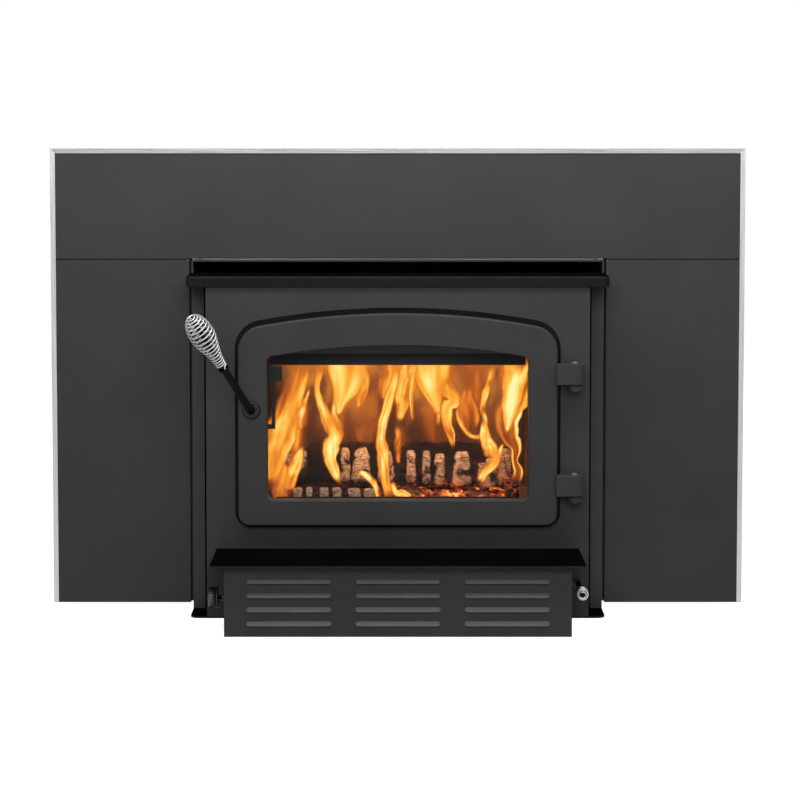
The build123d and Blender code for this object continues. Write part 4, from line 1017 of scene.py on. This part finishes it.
# ---- louvred front panel of the fan box
PANEL_HALF, PANEL_TOP = 268, 108.6
PANEL_BACK, PANEL_FRONT = 195, 197
LOUVRE_COLUMNS = [-168.3, 0, 168.3]
LOUVRE_ROWS = [20.7, 42.6, 64.5, 86.4]
LOUVRE_LONG, LOUVRE_HIGH, LOUVRE_RISE, LOUVRE_WALL, LOUVRE_END = 133, 7.7, 4, 1, 6.5
SLOT_LONG, SLOT_HIGH = LOUVRE_LONG - 9, LOUVRE_HIGH - 2.6


def pierced_sheet(heap, xs, zs, holes, back, front):
    """A flat sheet between two reaches, cut along xs and zs, without the cells named in holes."""
    beside = (0, -1), (1, 0), (0, 1), (-1, 0)
    solid = [(i, j) for i in range(len(xs) - 1) for j in range(len(zs) - 1) if (i, j) not in holes]

    def quad(*corners):
        heap.add([at(x, reach, z) for (x, z), reach in corners], [(0, 1, 2, 3)])

    for i, j in solid:
        cell = (xs[i], zs[j]), (xs[i + 1], zs[j]), (xs[i + 1], zs[j + 1]), (xs[i], zs[j + 1])
        quad(*((corner, front) for corner in cell))
        quad(*((corner, back) for corner in reversed(cell)))
        for a, b, (right, up) in zip(cell, cell[1:] + cell[:1], beside):
            if (i + right, j + up) not in solid:
                quad((b, back), (b, front), (a, front), (a, back))


def louvre_hood(heap, x, z):
    """A pressed hood with rounded ends that slopes out from its top edge and is open beneath."""
    columns, steps = 44, 8
    points = []
    for inset in (0, LOUVRE_WALL):
        half_long = LOUVRE_LONG / 2 - inset
        half_high = LOUVRE_HIGH / 2 - inset * 0.6
        for i in range(columns + 1):
            along = half_long * sin(pi / 2 * sin(pi / 2 * (2 * i / columns - 1)))
            past = max(0, abs(along) - half_long + LOUVRE_END) / LOUVRE_END
            full = sqrt(max(0, 1 - past * past))
            top, lip = z + half_high * full, z - 0.85 * half_high * full
            for v in [k / steps for k in range(steps + 1)]:
                out = (LOUVRE_RISE - inset) * full * min(1, 1.08 * v) ** 0.85
                points.append(at(x + along, PANEL_FRONT + out, top + (lip - top) * v))
    inner = grid_faces(columns + 1, steps + 1)
    skin = (columns + 1) * (steps + 1)
    outer = [tuple(reversed(face)) for face in inner]
    inner = [tuple(skin + k for k in face) for face in inner]
    lip_line = [i * (steps + 1) + steps for i in range(columns + 1)]
    heap.add(points, outer + inner + [(a, a + skin, b + skin, b) for a, b in zip(lip_line, lip_line[1:])])


def cuts(ends, middles, size):
    """Where a sheet is cut for a row of slots."""
    return [ends[0], *(middle + half for middle in middles for half in (-size / 2, size / 2)), ends[1]]


def louvred_panel():
    """The sheet with three columns and four rows of hooded air slots."""
    xs = cuts((-PANEL_HALF, PANEL_HALF), LOUVRE_COLUMNS, SLOT_LONG)
    zs = cuts((0, PANEL_TOP), LOUVRE_ROWS, SLOT_HIGH)
    slots = {(2 * i + 1, 2 * j + 1) for i in range(len(LOUVRE_COLUMNS)) for j in range(len(LOUVRE_ROWS))}
    panel = Heap()
    pierced_sheet(panel, xs, zs, slots, PANEL_BACK, PANEL_FRONT)
    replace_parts(panel.piece("louvred_panel", PAINT, "charcoal_paint", "root", smooth=False), "fan_box_grille")
    hoods = Heap()
    for x in LOUVRE_COLUMNS:
        for z in LOUVRE_ROWS:
            louvre_hood(hoods, x, z)
    hoods.piece("louvre_hoods", LIGHTENED_HOOD_PAINT, "charcoal_paint", "root")


louvred_panel()


# ---- fan speed knob and bushing
KNOB_FOOT = at(-282, 130, 48)
FLUTES = 22
# Distance along the knob's axis and radius: the shaft with the flange, then the grip.
FLANGE = [
    (-26.7, 2.6), (-26, 3), (0, 3), (0, 16.2), (0.4, 17), (1.2, 17), (1.6, 16.4), (1.7, 14),
]
GRIP = [(1.6, 13.6), (1.7, 16.2), (12.4, 16), (13.8, 15.4), (14.7, 13.9), (15, 11)]
# The dark bead: how far it stands out from the bushing's collar, and its radius.
BEAD = [(-0.2, 12.9), (0.3, 13.1), (0.5, 13.7), (0.3, 14.4), (-0.2, 14.6)]
COLLAR = 2.4


def fluted_knob():
    """A flanged knob with a fluted grip, on its shaft."""
    out = Vector((-1, 0, 0))

    def flute(turn):
        return 1 - 0.02 * abs(cos(FLUTES * turn / 2)) ** 6

    knob = Heap()
    knob.add(*turned(FLANGE, KNOB_FOOT, out, 64))
    knob.add(*turned(GRIP, KNOB_FOOT, out, FLUTES * 8, flute))
    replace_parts(knob.piece("fluted_knob", PLASTIC, "knob_plastic", "fan_speed"), "speed_knob")


def bushing_groove():
    """A near-black bead round the handle's bushing, on the door's face."""
    low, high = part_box("handle_bushing")
    centre = Vector(((low[0] + high[0]) / 2, low[1] + COLLAR * MM, (low[2] + high[2]) / 2))
    points, faces = turned(BEAD, centre, FRONT, 72)
    new_piece("bushing_dark_bead", points, faces[:-2], ROD, "black_steel", "door")    # its ends stay open


fluted_knob()
bushing_groove()


# ---- small fasteners
# Radius and height of a screw's head, radius and length of its shank.
STRAP_SCREW = 3.6, 2.6, 1.9, 3.6
JACKET_SCREW = 3.2, 2.4, 1.7, 4
BOX_SCREW = 2.9, 2.2, 1.6, 3.6
COLLAR_SCREW = 3, 2.2, 1.6, 3.6
RETAINER_SCREW = 2.6, 1.7, 1.5, 3
JACKET_BACK, JACKET_TOP, FLUE_REACH = -438, 570, -300


def screws(heap, size, way, places):
    """Hex-headed screws with washer faces, the underside of each head at its place, heads along way."""
    head_r, head, shank_r, shank = size
    washer = 1.25 * head_r
    point = [(-shank, 0.8 * shank_r), (-shank + 0.6, shank_r)]
    stem = point + [(0, shank_r), (0, washer), (0.25 * head, washer)]
    hexagon = [(0.2 * head, head_r), (0.85 * head, head_r), (head, 0.84 * head_r)]
    for place in places:
        for profile, sides in ((stem, 18), (hexagon, 6)):
            heap.add(*turned(profile, at(*place), way, sides))


def fasteners():
    """The screws that hold the sheets together, and those of the glass retainers."""
    fixed = Heap()
    for side in (-1, 1):
        out = Vector((side, 0, 0))
        screws(fixed, STRAP_SCREW, BACK, [(side * x, -5, z) for x in (356, 444, 532) for z in (560, 583)])
        screws(fixed, JACKET_SCREW, out, [(side * 332, JACKET_BACK, z) for z in range(40, 541, 100)])
        places = [(side * PANEL_HALF, reach, z) for reach in (84, 150) for z in (14, 94)]
        screws(fixed, BOX_SCREW, out, places)
        places = [(side * 321, reach, JACKET_TOP) for reach in (-30, -170, -310, -430)]
        screws(fixed, JACKET_SCREW, UP, places)
    screws(fixed, JACKET_SCREW, UP, [(x, JACKET_BACK, JACKET_TOP) for x in (-160, 160)])
    for a in [radians(turn) for turn in (30, 150, 270)]:
        out = Vector((cos(a), sin(a), 0))
        screws(fixed, COLLAR_SCREW, out, [(81.7 * out.x, FLUE_REACH - 81.7 * out.y, 596)])
    fixed.piece("sheet_screws", ZINC, "zinc_steel", "root", smooth=False)
    door = Heap()
    places = [(x, 40, z) for x in (-150, -50, 50, 150) for z in (180.8, 450.4)]
    places += [(x, 40, z) for z in (230, 316, 402) for x in (-219.6, 219.6)]
    screws(door, RETAINER_SCREW, BACK, places)
    door.piece("retainer_screws", ZINC, "zinc_steel", "door", smooth=False)


fasteners()


# ---- floor and light
FLOOR_LIFT = 0.92
FLOOR_HALF, FLOOR_Z = 14, -0.0005
WORLD_LIGHT = 0.14


def stage():
    """The pale floor: lit as any surface is, and lifted to near white where it is seen."""
    g = Look("floor")
    g.set(color=g.mix(g.noise(3, 2), grey(0.4), grey(0.42)), rough=0.9, specular=0.1)
    glow, dark = (g.node("Emission", {"Strength": s, "Color": grey(FLOOR_LIFT)}) for s in (1, 0))
    lift = g.node("MixShader", {0: g.seen(), 1: dark, 2: glow})
    g.put(g.output.inputs[0], g.node("AddShader", {0: g.shader.outputs[0], 1: lift}))
    corners = [(x * FLOOR_HALF, y * FLOOR_HALF, FLOOR_Z) for x, y in ((-1, -1), (1, -1), (1, 1), (-1, 1))]
    mesh = bpy.data.meshes.new("floor")
    mesh.from_pydata(corners, [], [(0, 1, 2, 3)])
    mesh.materials.append(g.material)
    floor = add_object("floor", mesh)


def world():
    """A white room where it is seen, and a dim one as a light."""
    scene.world = bpy.data.worlds.new("studio")
    g = Graph(scene.world)
    light, shown = (g.node("Background", {"Strength": s, "Color": grey(1)}) for s in (WORLD_LIGHT, 1))
    output = g.new("OutputWorld")
    g.put(output.inputs[0], g.node("MixShader", {0: g.seen(), 1: light, 2: shown}))


def area_light(name, place, target, width, height, power, color=(1, 1, 1)):
    data = bpy.data.lights.new(name, "AREA")
    data.shape = "RECTANGLE"
    data.size, data.size_y = width, height
    data.energy = power
    data.color = color
    lamp = add_object(name, data)
    lamp.location = place
    lamp.rotation_euler = (Vector(target) - Vector(place)).to_track_quat("-Z", "Y").to_euler()


stage()
world()
area_light("key_front", (0, -2.4, 1.5), (0, -0.1, 0.4), 2.6, 1, 43)
area_light("key_top", (0, -0.6, 1.5), (0, -0.12, 0.45), 2.2, 0.3, 28)
area_light("fill_back", (0, 2.8, 2.2), (0, 0.1, 0.4), 3, 1.2, 40)
area_light("fire_glow", at(0, -46, 338), at(0, -135, 205), 0.36, 0.08, 0.55, (1, 0.64, 0.36))

scene.view_settings.view_transform = "Standard"
